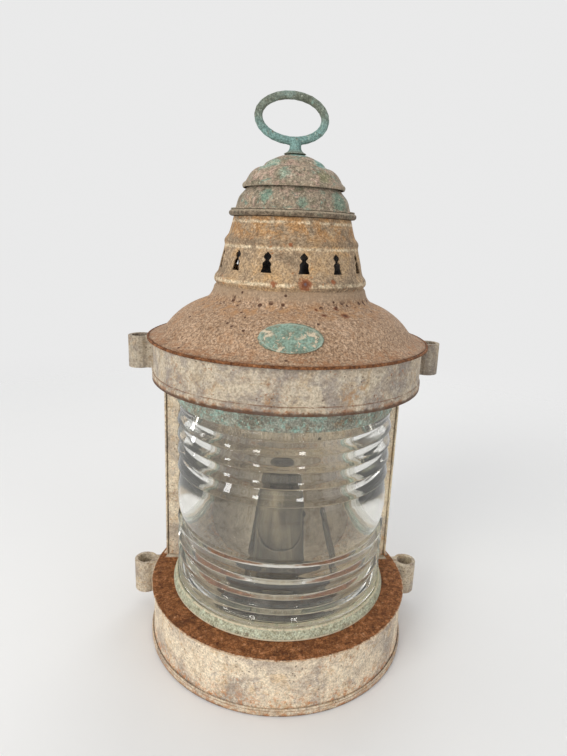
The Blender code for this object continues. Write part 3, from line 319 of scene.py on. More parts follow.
def zinc(name, level=1.0, lines=(), dark_edge=None, rust_low=None, warmth=0.5, mauve=0.5, ochre_spots=(), shift=0.0):
    """Weathered galvanised sheet: cream-grey zinc salts, mauve bare patches, ochre specks and a coarse grain.

    lines are heights of thin rust lines, dark_edge a height below which the edge has rusted dark, and
    rust_low a (bottom, top) stretch where rust specks gather.
    """
    p = Patina(name, level)
    wide = p.noise(0.026, 4.0, 0.6, 0.5, shift)
    p.colour = p.tones(wide, (0.34, (164, 150, 134)), (0.43, (190, 174, 154)), (0.50, (212, 195, 170)),
                       (0.58, (226, 210, 184)), (0.68, (200, 180, 152)))
    warm = p.patch(0.52, 0.66, 0.011, 4.0, 0.7, 0.8, shift + 3.1)
    p.over(warm, 0.3 + 0.4 * warmth, (205, 172, 128))
    bare = p.patch(0.60 - 0.1 * mauve, 0.72 - 0.1 * mauve, 0.010, 4.0, 0.68, 0.6, shift + 5.3)
    p.over(bare, 0.55, (158, 148, 142))
    medium = p.noise(0.0026, 4.0, 0.75, 0.2, shift + 2.0)
    fine = p.noise(0.0013, 2.0, 0.7, 0.0, shift + 1.0)
    blotches = p.noise(0.0060, 5.0, 0.75, 0.2, shift + 0.4)
    p.over(p.step(blotches, 0.54, 0.64), 0.45, (238, 226, 202))
    p.over(p.step(blotches, 0.46, 0.36), 0.45, (150, 132, 116))
    p.over(p.step(medium, 0.54, 0.64), 0.40, (244, 232, 208))
    p.over(p.step(medium, 0.46, 0.36), 0.42, (140, 120, 102))
    p.grain(fine, 0.20)
    specks = p.both(p.patch(0.55, 0.64, 0.0022, 4.0, 0.8, 0.0, shift + 7.7),
                    p.patch(0.47, 0.60, 0.018, 3.0, 0.6, 0.0, shift + 8.8))
    p.over(specks, 0.75, (178, 118, 70))
    pits = p.both(p.step(p.cells(0.0030, shift + 4.0), 0.24, 0.12),
                  p.patch(0.48, 0.60, 0.014, 3.0, 0.6, 0.0, shift + 9.9))
    p.over(pits, 0.75, (84, 64, 48))
    if rust_low:
        low = p.step(p.height, rust_low[1], rust_low[0])
        patches = p.both(low, p.patch(0.49, 0.62, 0.0034, 4.0, 0.75, 0.3, shift + 6.1))
        p.over(patches, 0.8, (192, 124, 70))
    for number, (centre, size) in enumerate(ochre_spots):
        broken = p.patch(0.44, 0.56, 0.0032, 5.0, 0.8, 0.0, shift + number)
        p.over(p.both(p.spot(centre, size, 0.9, number + shift), broken), 0.6, (184, 132, 74))
    ragged = p.torn(p.height, 0.0014, 0.005, 4.0, 0.75, 0.0, shift + 2.2)
    for line in lines:
        rusty = p.both(p.band(ragged, line + 0.0005, line + 0.0010, 0.0003),
                       p.patch(0.34, 0.50, 0.007, 3.0, 0.7, 0.0, shift + 1.6))
        p.over(rusty, 0.8, (132, 84, 50))
    if dark_edge is not None:
        warm_edge = p.both(p.step(ragged, dark_edge + 0.0048, dark_edge + 0.0020),
                           p.patch(0.42, 0.56, 0.006, 4.0, 0.7, 0.0, shift + 0.7))
        p.over(warm_edge, 0.7, (170, 112, 66))
        torn = p.torn(p.height, 0.0050, 0.004, 5.0, 0.8, 0.0, shift + 4.4)
        rusty = p.step(torn, dark_edge + 0.0044, dark_edge + 0.0026)
        p.over(rusty, 0.85, (84, 54, 36))
    relief = p.weighted(medium, 0.8, fine, 0.6)
    relief = p.math("SUBTRACT", relief, pits)
    return p.finish(p.step(wide, -0.6, 0.9), 0.1, relief, 0.00026)


def dome_rust(name, rim_height, neck_radius, blots, pit_row):
    """Even tan rust with a coarse grain, a dark rim, and pits in a row round the neck."""
    p = Patina(name, 0.95)
    wide = p.noise(0.040, 3.0, 0.55, 0.4)
    p.colour = p.tones(wide, (0.32, (156, 127, 100)), (0.48, (173, 142, 113)), (0.64, (184, 154, 126)))
    fine = p.noise(0.0012, 2.0, 0.7, 0.0, 1.0)
    medium = p.noise(0.0020, 4.0, 0.8, 0.0, 2.0)
    p.over(p.step(medium, 0.52, 0.62), 0.6, (212, 182, 154))
    p.over(p.step(medium, 0.48, 0.38), 0.65, (120, 88, 62))
    p.grain(fine, 0.38)
    p.over(p.patch(0.40, 0.32, 0.0018, 3.0, 0.8, 0.0, 3.3), 0.55, (88, 60, 40))
    warm = p.patch(0.54, 0.66, 0.012, 4.0, 0.65, 0.5, 4.0)
    p.over(warm, 0.30, (180, 128, 84))
    near_rim = p.step(p.height, rim_height + 0.008, rim_height + 0.001)
    p.over(p.both(near_rim, p.patch(0.46, 0.6, 0.005, 4.0, 0.75, 0.0, 6.0)), 0.6, (162, 108, 66))
    rim = p.torn(p.height, 0.0024, 0.004, 4.0, 0.75, 0.0, 7.0)
    p.over(p.step(rim, rim_height + 0.0028, rim_height + 0.0014), 0.8, (88, 56, 36))
    foot = p.step(p.radius, pit_row[0] + 0.0010, pit_row[0] - 0.0012)
    p.over(foot, 0.6, (168, 146, 120))
    collar = p.band(p.radius, neck_radius + 0.003, neck_radius + 0.014, 0.004)
    p.over(p.both(collar, p.patch(0.46, 0.60, 0.007, 4.0, 0.75, 0.4, 9.0)), 0.6, (192, 142, 92))
    for number, (centre, size) in enumerate(blots):
        mark = p.spot(centre, size, 0.7, float(number))
        p.over(mark, 0.8, (126, 72, 42))
        p.over(p.spot(centre, size * 0.5, 0.7, number + 0.5), 0.8, (76, 42, 28))
    row = p.band(p.radius, pit_row[0], pit_row[1], 0.0012)
    pits = p.both(row, p.step(p.cells(0.0050, 3.0), 0.34, 0.24))
    loose = p.both(p.step(p.cells(0.0072, 8.0), 0.15, 0.09), p.patch(0.44, 0.54, 0.02, 2.0, 0.5, 0.0, 5.0))
    pits = p.either(pits, loose)
    p.over(pits, 0.9, (72, 40, 26))
    relief = p.weighted(medium, 0.9, fine, 0.7)
    relief = p.math("SUBTRACT", relief, p.both(pits, 2.0))
    return p.finish(0.9, 0.0, relief, 0.00032, 0.8)


def chimney_rust(name, top, blots, shaded_grooves, highlit_crests):
    """Ochre and pale zinc stains and rust blots on the chimney, with painted shade in the hollow bands between its
    ridges and painted highlights along its ridges.
    """
    p = Patina(name)
    wide = p.noise(0.018, 4.0, 0.62, 0.5, 1.5)
    p.colour = p.tones(wide, (0.34, (126, 108, 86)), (0.45, (152, 130, 104)), (0.55, (170, 143, 110)),
                       (0.66, (182, 146, 102)))
    ochre = p.both(p.step(p.height, top - 0.020, top - 0.008), p.patch(0.40, 0.58, 0.009, 4.0, 0.7, 0.4, 3.5))
    p.over(ochre, 0.65, (174, 124, 68))
    fine = p.noise(0.0012, 2.0, 0.7, 0.0, 2.5)
    medium = p.noise(0.0026, 4.0, 0.78, 0.1, 4.5)
    ragged = p.torn(p.height, 0.0020, 0.006, 4.0, 0.7, 0.0, 8.5)
    # Painted shade: the hollow bands are darkened where shade falls in them.
    for low, high in shaded_grooves:
        p.over(p.band(ragged, low + 0.001, high + 0.001, 0.0010), 0.5, (104, 92, 76))
    # Painted highlights: the ridge bands are lightened in patches where light catches them.
    for low, high in highlit_crests:
        crest_highlight = p.both(p.band(ragged, low + 0.001, high + 0.001, 0.0007),
                       p.patch(0.38, 0.56, 0.006, 4.0, 0.75, 0.3, 5.5))
        p.over(crest_highlight, 0.8, (222, 204, 172))
    p.over(p.step(medium, 0.53, 0.64), 0.5, (210, 184, 150))
    p.over(p.step(medium, 0.47, 0.36), 0.55, (112, 88, 64))
    p.grain(fine, 0.34)
    orange = p.both(p.patch(0.56, 0.66, 0.0030, 4.0, 0.75, 0.0, 6.5), p.patch(0.46, 0.60, 0.014, 3.0, 0.6, 0.0, 7.5))
    p.over(orange, 0.7, (172, 110, 60))
    for number, (centre, size, core) in enumerate(blots):
        mark = p.spot(centre, size, 0.8, number + 0.5)
        p.over(mark, 0.85, (140, 78, 42))
        if core:
            p.over(p.spot(centre, size * 0.62, 0.6, number + 1.5), 0.85, (104, 54, 30))
            p.over(p.spot(centre, size * 0.30, 0.5, number + 2.5), 0.8, (98, 88, 94))
    relief = p.weighted(medium, 0.9, fine, 0.6)
    return p.finish(0.85, 0.0, relief, 0.00028, 0.8)


def deep_rust(name, rim_radius, level=1.0, sheltered=None):
    """Orange-brown flaking rust on the shelf, with the pale zinc left on its outer edge and indoors.

    sheltered is the radius inside the lens, the radius inside the back shell, and the depth where the latter starts.
    """
    p = Patina(name, level)
    medium = p.noise(0.0042, 5.0, 0.8, 0.0, 1.1)
    p.colour = p.tones(medium, (0.34, (74, 38, 16)), (0.44, (104, 62, 30)), (0.52, (128, 80, 44)),
                       (0.60, (148, 96, 58)), (0.70, (186, 142, 104)))
    fine = p.noise(0.0013, 3.0, 0.75, 0.0, 2.1)
    p.grain(fine, 0.42)
    p.over(p.patch(0.57, 0.68, 0.0024, 4.0, 0.8, 0.0, 3.1), 0.55, (196, 148, 106))
    p.over(p.patch(0.54, 0.66, 0.011, 4.0, 0.7, 0.3, 4.1), 0.45, (82, 46, 24))
    ragged = p.torn(p.radius, -0.0034, 0.005, 4.0, 0.75, 0.0, 5.1)
    edge = p.step(ragged, rim_radius - 0.0026, rim_radius - 0.0016)
    pale = p.tones(p.noise(0.0026, 4.0, 0.75, 0.0, 6.1), (0.36, (146, 112, 82)), (0.5, (196, 172, 142)),
                   (0.64, (226, 208, 180)))
    p.cover(p.both(edge, 0.85), pale)
    if sheltered:
        under_lens = p.step(p.radius, sheltered[0], sheltered[0] - 0.0008)
        behind = p.both(p.step(p.depth, sheltered[2] - 0.002, sheltered[2]),
                        p.step(p.radius, sheltered[1], sheltered[1] - 0.0008))
        dull = p.tones(p.noise(0.0090, 5.0, 0.7, 0.4, 7.1), (0.36, (160, 146, 126)), (0.5, (190, 180, 162)),
                       (0.64, (208, 200, 184)))
        p.cover(p.both(p.either(under_lens, behind), 0.92), p.grained(dull, fine, 0.15))
    relief = p.math("ADD", medium, p.both(fine, 0.6))
    return p.finish(0.95, 0.0, relief, 0.0005, 0.8)


def verdigris(name, base, level=1.0, bright=0.5, brown=0.3, mint=0.0, pale_edges=(), foot_rust=None, bluer_below=None,
              shift=0.0):
    """Copper under blue-green salts: base gives its dark, middle and light tones.

    pale_edges are (low, high) heights with cream salts, foot_rust a height below which it is orange-brown, and
    bluer_below a height below which more blue-green salts lie.
    """
    p = Patina(name, level)
    wide = p.noise(0.011, 4.0, 0.65, 0.6, shift)
    p.colour = p.tones(wide, (0.34, base[0]), (0.50, base[1]), (0.66, base[2]))
    medium = p.noise(0.0030, 4.0, 0.75, 0.3, shift + 1.3)
    fine = p.noise(0.0012, 2.0, 0.7, 0.0, shift + 2.3)
    if mint:
        p.cover(mint,
                p.tones(medium, (0.34, (146, 142, 112)), (0.5, (184, 182, 156)), (0.62, (200, 206, 180)),
                        (0.74, (228, 224, 202))))
    p.over(p.step(medium, 0.68 - 0.2 * bright, 0.80 - 0.2 * bright), 0.6, (124, 166, 154))
    if bluer_below:
        p.over(p.step(p.height, bluer_below + 0.008, bluer_below - 0.006), 0.6, (122, 164, 160))
    p.over(p.patch(0.66 - 0.2 * brown, 0.76 - 0.2 * brown, 0.0052, 4.0, 0.7, 0.4, shift + 3.3), 0.65, (124, 102, 78))
    p.grain(fine, 0.34)
    p.over(p.patch(0.60, 0.68, 0.0019, 3.0, 0.75, 0.0, shift + 4.3), 0.55, (200, 206, 188))
    p.over(p.step(medium, 0.40, 0.30), 0.6, (74, 68, 54))
    for low, high in pale_edges:
        pale = p.both(p.band(p.height, low, high, 0.0004), p.patch(0.35, 0.5, 0.004, 3.0, 0.6, 0.0, 7.0))
        p.over(pale, 0.8, (216, 198, 168))
    if foot_rust:
        p.over(p.step(p.height, foot_rust + 0.0040, foot_rust - 0.0010), 0.6, (140, 112, 84))
    relief = p.weighted(medium, 0.8, fine, 0.5)
    return p.finish(0.8, 0.1, relief, 0.00022, 0.8)


def brown_copper(name, level=1.0, pink=0.5, green=0.5, dark_below=None, blobs=(), shift=0.0):
    """Copper gone pinkish brown and grey-green, with spots of verdigris."""
    p = Patina(name, level)
    wide = p.noise(0.009, 4.0, 0.68, 0.6, shift)
    p.colour = p.tones(wide, (0.34, (112, 104, 84)), (0.44, (138, 126, 106)), (0.56, (154, 138, 118)),
                       (0.68, (166, 144, 118)))
    medium = p.noise(0.0026, 4.0, 0.78, 0.2, shift + 1.0)
    fine = p.noise(0.0012, 2.0, 0.75, 0.0, shift + 2.0)
    p.over(p.patch(0.62 - 0.14 * pink, 0.74 - 0.14 * pink, 0.0065, 4.0, 0.7, 0.5, shift + 3.0), 0.6, (186, 154, 138))
    p.over(p.patch(0.66 - 0.14 * green, 0.74 - 0.14 * green, 0.0060, 4.0, 0.7, 0.6, shift + 4.0), 0.65,
           (122, 150, 134))
    for number, (centre, size, tint) in enumerate(blobs):
        p.over(p.spot(centre, size, 0.7, number + shift), 0.8, tint)
    p.over(p.step(medium, 0.54, 0.64), 0.5, (208, 192, 168))
    p.over(p.step(medium, 0.46, 0.36), 0.6, (84, 76, 58))
    p.grain(fine, 0.36)
    if dark_below:
        edge = p.torn(p.height, 0.0016, 0.005, 3.0, 0.7, 0.0, shift + 6.0)
        p.over(p.step(edge, dark_below + 0.0016, dark_below + 0.0002), 0.7, (78, 76, 66))
    relief = p.weighted(medium, 0.8, fine, 0.6)
    return p.finish(0.82, 0.1, relief, 0.00024, 0.8)


def bronze(name, top):
    """The dark bead, paler along its upper edge."""
    p = Patina(name)
    medium = p.noise(0.0028, 4.0, 0.75, 0.2, 1.0)
    fine = p.noise(0.0012, 2.0, 0.75, 0.0, 2.0)
    p.colour = p.tones(medium, (0.34, (66, 54, 42)), (0.48, (106, 92, 74)), (0.60, (134, 118, 98)),
                       (0.72, (154, 138, 116)))
    p.over(p.patch(0.54, 0.66, 0.007, 4.0, 0.7, 0.5, 3.0), 0.5, (122, 126, 106))
    p.over(p.step(p.height, top - 0.0016, top - 0.0004), 0.6, (176, 160, 136))
    p.grain(fine, 0.34)
    return p.finish(0.75, 0.15, p.math("ADD", medium, p.both(fine, 0.5)), 0.00022, 0.8)


def badge_finish(name, centre, half, turn):
    """Grey-green salts with connected pale flakes and a thin paler border: a bare plate."""
    p = Patina(name)
    wide = p.noise(0.009, 3.0, 0.6, 0.4, 0.4)
    p.colour = p.tones(wide, (0.34, (106, 118, 102)), (0.5, (122, 142, 126)), (0.66, (134, 158, 142)))
    medium = p.noise(0.0058, 5.0, 0.75, 0.5, 1.4)
    fine = p.noise(0.0012, 2.0, 0.7, 0.0, 2.4)
    flakes = p.both(p.step(medium, 0.52, 0.56), p.patch(0.42, 0.50, 0.012, 2.0, 0.5, 0.0, 3.4))
    bare = p.patch(0.53, 0.62, 0.0040, 4.0, 0.75, 0.5, 4.4)
    p.over(bare, 0.7, (136, 124, 100))
    p.grain(fine, 0.30)
    p.over(flakes, 0.85, (216, 196, 168))
    aside = p.math("SUBTRACT", p.across, centre.x)
    upward = p.math("SUBTRACT", p.height, centre.z)
    level = p.weighted(aside, math.cos(turn), upward, math.sin(turn))
    slope = p.math("SUBTRACT", p.both(upward, math.cos(turn)), p.both(aside, math.sin(turn)))
    reach = p.math("ADD", p.math("POWER", p.math("DIVIDE", level, half[0]), 2.0),
                   p.math("POWER", p.math("DIVIDE", slope, half[1]), 2.0))
    border = p.band(reach, 0.80, 0.92, 0.05)
    p.over(border, 0.5, (176, 186, 168))
    outer = p.step(reach, 0.92, 1.0)
    p.over(outer, 0.5, (104, 110, 92))
    relief = p.math("ADD", p.both(flakes, 1.2), p.weighted(border, 0.8, fine, 0.5))
    return p.finish(0.78, 0.05, relief, 0.00024, 0.8)


def aged_metal(name, dark, middle, light, spots, roughness=0.55, metallic=0.7, shift=0.0):
    """Dull handled metal with tarnish clouds, spots and fine scratches."""
    p = Patina(name)
    wide = p.noise(0.010, 4.0, 0.62, 0.6, shift)
    p.colour = p.tones(wide, (0.34, dark), (0.5, middle), (0.66, light))
    fine = p.noise(0.0009, 3.0, 0.75, 0.0, shift + 1.0)
    scratch = p.noise(0.0012, 3.0, 0.6, 0.0, shift + 2.0, (0.12, 1.0, 1.0))
    p.over(p.patch(0.58, 0.68, 0.0032, 3.0, 0.7, 0.3, shift + 3.0), 0.6, spots)
    p.grain(fine, 0.16)
    rough = p.math("MULTIPLY_ADD", wide, 0.3, roughness - 0.15)
    relief = p.weighted(fine, 0.4, scratch, 0.6)
    return p.finish(rough, metallic, relief, 0.00008)


def woven_wick(name):
    """Flat woven cotton, charred at its burning end."""
    p = Patina(name)
    weave = p.patch(0.3, 0.7, 0.0006, 1.0, 0.5, 0.0, 0.0, (1.0, 1.0, 0.25))
    p.colour = p.tones(weave, (0.2, (150, 138, 112)), (0.8, (206, 196, 170)))
    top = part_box("wick")[1].z
    burnt = p.torn(p.height, 0.004, 0.003, 3.0)
    p.over(p.step(burnt, top - 0.003, top), 0.95, (30, 26, 24))
    return p.finish(0.95, 0.0, weave, 0.0002)


def glass(name):
    """Clear pressed glass with a trace of grey-green and faint dust; lamps shine through it."""
    p = Patina(name)
    dust = p.patch(0.45, 0.75, 0.006, 4.0, 0.7, 0.5)
    p.link(p.math("MULTIPLY_ADD", dust, 0.05, 0.02), p.shader.inputs["Roughness"])
    p.shader.inputs["Base Color"].default_value = linear(246, 245, 239)
    p.shader.inputs["Transmission Weight"].default_value = glass_clearness
    p.shader.inputs["IOR"].default_value = 1.5
    p.bump(p.noise(0.009, 2.0, 0.5, 0.3, 4.0), 0.00012, 0.25)
    p.see_through(p.add("ShaderNodeLightPath").outputs["Is Shadow Ray"], linear(240, 242, 239))
    return p.material


# Shapes taken from the frame

def merged_mesh(node):
    """A copy of a CAD node's mesh with its split corners welded."""
    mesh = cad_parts[node].data.copy()
    shape = bmesh.new()
    shape.from_mesh(mesh)
    bmesh.ops.remove_doubles(shape, verts=shape.verts, dist=weld_distance)
    shape.to_mesh(mesh)
    shape.free()
    mesh.materials.clear()
    return mesh


def as_mesh(shape, name):
    mesh = bpy.data.meshes.new(name)
    shape.to_mesh(mesh)
    shape.free()
    return mesh


def evaluated_mesh(obj, name):
    """An object's mesh with its modifiers applied."""
    bpy.context.view_layer.update()
    mesh = bpy.data.meshes.new_from_object(obj.evaluated_get(bpy.context.evaluated_depsgraph_get()))
    mesh.name = name
    return mesh


def profile(node, azimuth):
    """The outline that a turned CAD node has in the half-plane at an azimuth, as ordered (radius, height) points.

    The second value says whether the outline closes, or ends on the axis. Flat faces that cross the axis have
    no point on it, so an open outline is drawn on to the axis at both ends.
    """
    mesh = merged_mesh(node)
    out = Vector((math.sin(azimuth), -math.cos(azimuth)))
    side = Vector((math.cos(azimuth), math.sin(azimuth)))
    keys = []
    for vertex in mesh.vertices:
        flat = vertex.co.xy
        inside = abs(flat.dot(side)) < plane_slack and flat.dot(out) > -plane_slack
        keys.append((round(max(flat.dot(out), 0.0), 6), round(vertex.co.z, 6)) if inside else None)
    beside = {}
    for edge in mesh.edges:
        first, second = (keys[i] for i in edge.vertices)
        if first and second and first != second:
            beside.setdefault(first, set()).add(second)
            beside.setdefault(second, set()).add(first)
    bpy.data.meshes.remove(mesh)
    ends = sorted(key for key, others in beside.items() if len(others) == 1)
    here = ends[0] if ends else min(beside)
    path = [here]
    while True:
        onward = sorted(key for key in beside[here] if key not in path)
        if not onward:
            break
        here = onward[0]
        path.append(here)
    if ends and path[0][0] > plane_slack:
        path.insert(0, (0.0, path[0][1]))
    if ends and path[-1][0] > plane_slack:
        path.append((0.0, path[-1][1]))
    return [Vector(key) for key in path], not ends


def turn_at(before, here, after):
    first = (here - before).normalized()
    second = (after - here).normalized()
    return abs(first.angle(second, 0.0))


def smooth_runs(points, closed):
    """Points along a curve through the profile, with its corners kept and marked."""
    count = len(points)
    corners = []
    for i in range(count):
        if not closed and i in (0, count - 1):
            corners.append(True)
        else:
            corners.append(turn_at(points[i - 1], points[i], points[(i + 1) % count]) > corner_angle)
    dense = []
    for i in range(count if closed else count - 1):
        here, there = points[i], points[(i + 1) % count]
        span = (there - here).length
        chord = there - here
        leave = chord if corners[i] else (there - points[i - 1]).normalized() * span
        far = points[(i + 2) % count]
        arrive = chord if corners[(i + 1) % count] else (far - here).normalized() * span
        straight = corners[i] and corners[(i + 1) % count]
        steps = 1 if straight else max(1, min(8, round(span / curve_span)))
        for k in range(steps):
            t = k / steps
            spot = here if k == 0 else ((2 * t ** 3 - 3 * t ** 2 + 1) * here + (t ** 3 - 2 * t ** 2 + t) * leave
                                        + (3 * t ** 2 - 2 * t ** 3) * there + (t ** 3 - t ** 2) * arrive)
            dense.append((spot, corners[i] if k == 0 else False))
    if not closed:
        dense.append((points[-1], True))
    return dense


def filleted(dense, closed, fillet):
    """Round the marked corners."""
    count = len(dense)
    rounded = []
    for i, (here, corner) in enumerate(dense):
        if not corner or (not closed and i in (0, count - 1)):
            rounded.append(here)
            continue
        before = dense[i - 1][0]
        after = dense[(i + 1) % count][0]
        reach = min(fillet, 0.45 * (here - before).length, 0.45 * (after - here).length)
        start = here + (before - here).normalized() * reach
        end = here + (after - here).normalized() * reach
        for k in range(4):
            t = k / 3
            rounded.append((1 - t) ** 2 * start + 2 * t * (1 - t) * here + t ** 2 * end)
    return rounded


def dent(point):
    """How far the dented metal has moved at a point."""
    radius = point.xy.length
    share = min(1.0, radius / dent_full_radius)
    rise = max(0.0, min(1.0, (point.z - dent_free_height) / (dent_full_height - dent_free_height)))
    push = dent_depth * noise.noise(point / dent_span) + ripple_depth * noise.noise(point / ripple_span)
    lift = dent_depth * noise.noise((point + Vector((1.0, 2.0, 3.0))) / dent_span) * rise
    if radius < plane_slack:
        return Vector((0.0, 0.0, lift * share))
    out = Vector((point.x / radius, point.y / radius, 0.0))
    return out * push * share + Vector((0.0, 0.0, lift * share))


def new_piece(name, mesh, material, nodes, body, dented=True):
    piece = bpy.data.objects.new(name, mesh)
    bpy.context.scene.collection.objects.link(piece)
    if dented:
        for vertex in mesh.vertices:
            vertex.co += dent(vertex.co)
    mesh.shade_smooth()
    mesh.set_sharp_from_angle(angle=sharp_angle)
    mesh.materials.clear()
    mesh.materials.append(material)
    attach(piece, body)
    if nodes:
        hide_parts(*nodes)
    return piece


def spun_mesh(name, loop, closed, steps, start=0.0, sweep=math.tau):
    """Turn an outline about the lantern's axis; a part turn gets flat ends."""
    full = sweep > math.tau - plane_slack
    rings = steps if full else steps + 1
    shape = bmesh.new()
    rows = []
    for i in range(rings):
        angle = start + sweep * i / steps
        rows.append([shape.verts.new((spot.x * math.sin(angle), -spot.x * math.cos(angle), spot.y))
                     for spot in loop])
    count = len(loop)
    for i in range(steps):
        near, far = rows[i], rows[(i + 1) % rings]
        for k in range(count if closed else count - 1):
            shape.faces.new((near[k], near[(k + 1) % count], far[(k + 1) % count], far[k]))
    if not full:
        shape.faces.new(rows[0])
        shape.faces.new(rows[-1][::-1])
    bmesh.ops.remove_doubles(shape, verts=shape.verts, dist=weld_distance)
    bmesh.ops.recalc_face_normals(shape, faces=shape.faces)
    return as_mesh(shape, name)


def cut(mesh, tool, name):
    """Take a tool's mesh out of a mesh, and return the result."""
    piece = bpy.data.objects.new(name + "_blank", mesh)
    cutter = bpy.data.objects.new(name + "_cutter", tool)
    for obj in (piece, cutter):
        bpy.context.scene.collection.objects.link(obj)
    modifier = piece.modifiers.new("Cut", "BOOLEAN")
    modifier.object = cutter
    result = evaluated_mesh(piece, name)
    for obj in (piece, cutter):
        bpy.data.objects.remove(obj)
    return result


def turned(node, material, azimuth=math.radians(90), steps=full_steps, fillet=sheet_fillet, body="root",
           tool=None, arc=None, dented=True):
    """A fine version of a turned CAD node, from the node's own outline."""
    points, closed = profile(node, azimuth)
    loop = filleted(smooth_runs(points, closed), closed, fillet)
    start, sweep = arc or (0.0, math.tau)
    mesh = spun_mesh(node, loop, closed, steps, start, sweep)
    if tool:
        mesh = cut(mesh, tool, node)
    return new_piece("fine_" + node, mesh, material, [node], body, dented)


def arc_of(node):
    """First azimuth and sweep of a part turn, which is centred on the front or the back."""
    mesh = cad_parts[node].data
    middle_back = max(v.co.y for v in mesh.vertices) > -min(v.co.y for v in mesh.vertices)
    centre = math.pi if middle_back else 0.0
    half = 0.0
    for vertex in mesh.vertices:
        azimuth = math.atan2(vertex.co.x, -vertex.co.y)
        away = abs((azimuth - centre + math.pi) % math.tau - math.pi)
        half = max(half, away)
    return centre - half, 2 * half


def refined(node, material, body="root", bevel=0.0002, dented=True):
    """A CAD node's own shape with softened edges and smooth shading."""
    mesh = merged_mesh(node)
    mesh.name = node
    piece = new_piece("fine_" + node, mesh, material, [node], body, dented)
    if bevel:
        modifier = piece.modifiers.new("Soft edges", "BEVEL")
        modifier.width = bevel
        modifier.segments = 2
        modifier.limit_method = "ANGLE"
        modifier.angle_limit = sharp_angle
    return piece


def cast(node, material, body="root", voxel=0.0004, rounds=6, unevenness=0.00008, dented=True):
    """A CAD node's own shape remeshed evenly, with its edges worn round and its surface a little uneven."""
    blank = bpy.data.objects.new(node + "_blank", merged_mesh(node))
    bpy.context.scene.collection.objects.link(blank)
    for vertex in blank.data.vertices:
        vertex.co *= remesh_scale
    even = blank.modifiers.new("Even", "REMESH")
    even.mode = "VOXEL"
    even.voxel_size = voxel * remesh_scale
    worn = blank.modifiers.new("Worn", "SMOOTH")
    worn.factor = 0.5
    worn.iterations = rounds
    mesh = evaluated_mesh(blank, node)
    bpy.data.objects.remove(blank)
    normals = [vertex.normal.copy() for vertex in mesh.vertices]
    for vertex, normal in zip(mesh.vertices, normals):
        vertex.co /= remesh_scale
        vertex.co += normal * unevenness * noise.noise(vertex.co / cast_span)
    return new_piece("fine_" + node, mesh, material, [node], body, dented)


def box_mesh(low, high):
    shape = bmesh.new()
    bmesh.ops.create_cube(shape, size=1.0)
    bmesh.ops.scale(shape, vec=high - low, verts=shape.verts)
    bmesh.ops.translate(shape, vec=(high + low) / 2, verts=shape.verts)
    return as_mesh(shape, "box")


def rod_mesh(radius, start, end, steps=48):
    """A closed rod between two points."""
    shape = bmesh.new()
    bmesh.ops.create_cone(shape, cap_ends=True, segments=steps, radius1=radius, radius2=radius,
                          depth=(end - start).length)
    turn = (end - start).to_track_quat("Z", "Y").to_matrix().to_4x4()
    bmesh.ops.transform(shape, matrix=Matrix.Translation((start + end) / 2) @ turn, verts=shape.verts)
    return as_mesh(shape, "rod")


def vent_tool():
    """Keyhole prisms through the chimney's wall, clear of the flue behind."""
    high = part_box("chimney")[1]
    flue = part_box("inner_flue")[1].x
    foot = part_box("dome")[1].z
    bottom = foot + vent_bottom_share * (high.z - foot)
    near = flue + vent_cut_inset
    far = high.x + vent_cut_reach
    right = [(x * vent_width, bottom + y * vent_height) for x, y in vent_shares]
    outline = right + [(0.0, bottom + vent_height)] + [(-x, z) for x, z in reversed(right)]
    shape = bmesh.new()
    for i in range(vent_count):
        turn = Matrix.Rotation(vent_phase + math.tau * i / vent_count, 3, "Z")
        front = [shape.verts.new(turn @ Vector((x, -far, z))) for x, z in outline]
        back = [shape.verts.new(turn @ Vector((x, -near, z))) for x, z in outline]
        shape.faces.new(front)
        shape.faces.new(back[::-1])
        for k in range(len(outline)):
            after = (k + 1) % len(outline)
            shape.faces.new((front[k], back[k], back[after], front[after]))
    bmesh.ops.recalc_face_normals(shape, faces=shape.faces)
    return as_mesh(shape, "vents")


# Pieces

def make_base():
    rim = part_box("base_pan")[1].z
    pan = zinc("pan_zinc", 0.94, lines=(rim - 0.0014,), dark_edge=0.0, rust_low=(0.0, rim * 1.5), warmth=0.9,
               shift=11.0)
    turned("base_pan", pan, dented=False)
    wall = zinc("wall_zinc", rust_low=(rim, rim + 0.016), warmth=0.6, shift=21.0)
    turned("base_wall", wall, fillet=0.0003)
    indoors = (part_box("lens_foot_ring")[1].x - 0.0008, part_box("back_shell")[1].x + 0.0002,
               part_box("fresnel_lens")[1].y)
    rust = deep_rust("shelf_rust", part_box("base_shelf")[1].x, 1.05, indoors)
    turned("base_shelf", rust, fillet=0.0005)


def make_lens():
    clear = glass("lens_glass")
    turned("fresnel_lens", clear, azimuth=0.0, fillet=0.0006, arc=arc_of("fresnel_lens"), dented=False)
    low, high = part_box("lens_foot_ring")
    tones = ((116, 116, 98), (150, 154, 134), (176, 186, 164))
    foot = verdigris("foot_ring_verdigris", tones, 1.0, 0.2, 0.3, 0.85,
                     ((low.z, low.z + 0.0012), (high.z - 0.001, high.z)), shift=31.0)
    turned("lens_foot_ring", foot, azimuth=0.0, arc=arc_of("lens_foot_ring"), dented=False)
    tones = ((104, 100, 88), (130, 130, 118), (140, 158, 146))
    collar = verdigris("collar_verdigris", tones, 1.1, 0.8, 0.6, shift=41.0)
    turned("lens_top_collar", collar, azimuth=0.0, arc=arc_of("lens_top_collar"), dented=False)
    for side in ("left", "right"):
        refined("lens_channel_" + side, collar)


def make_back():
    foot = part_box("back_shell")[0].z
    shell = zinc("shell_zinc", 0.96, rust_low=(foot, foot + 0.008), shift=51.0)
    half, bottom, top = door_opening
    opening = box_mesh(Vector((-half, door_cut_depths[0], bottom)), Vector((half, door_cut_depths[1], top)))
    turned("back_shell", shell, azimuth=math.radians(110), arc=arc_of("back_shell"), tool=opening)
    turned("back_door", zinc("door_zinc", 0.95, shift=61.0), azimuth=math.pi, steps=64,
           arc=arc_of("back_door"), body="door")
    for side in ("left", "right"):
        refined("lens_cheek_" + side, shell)


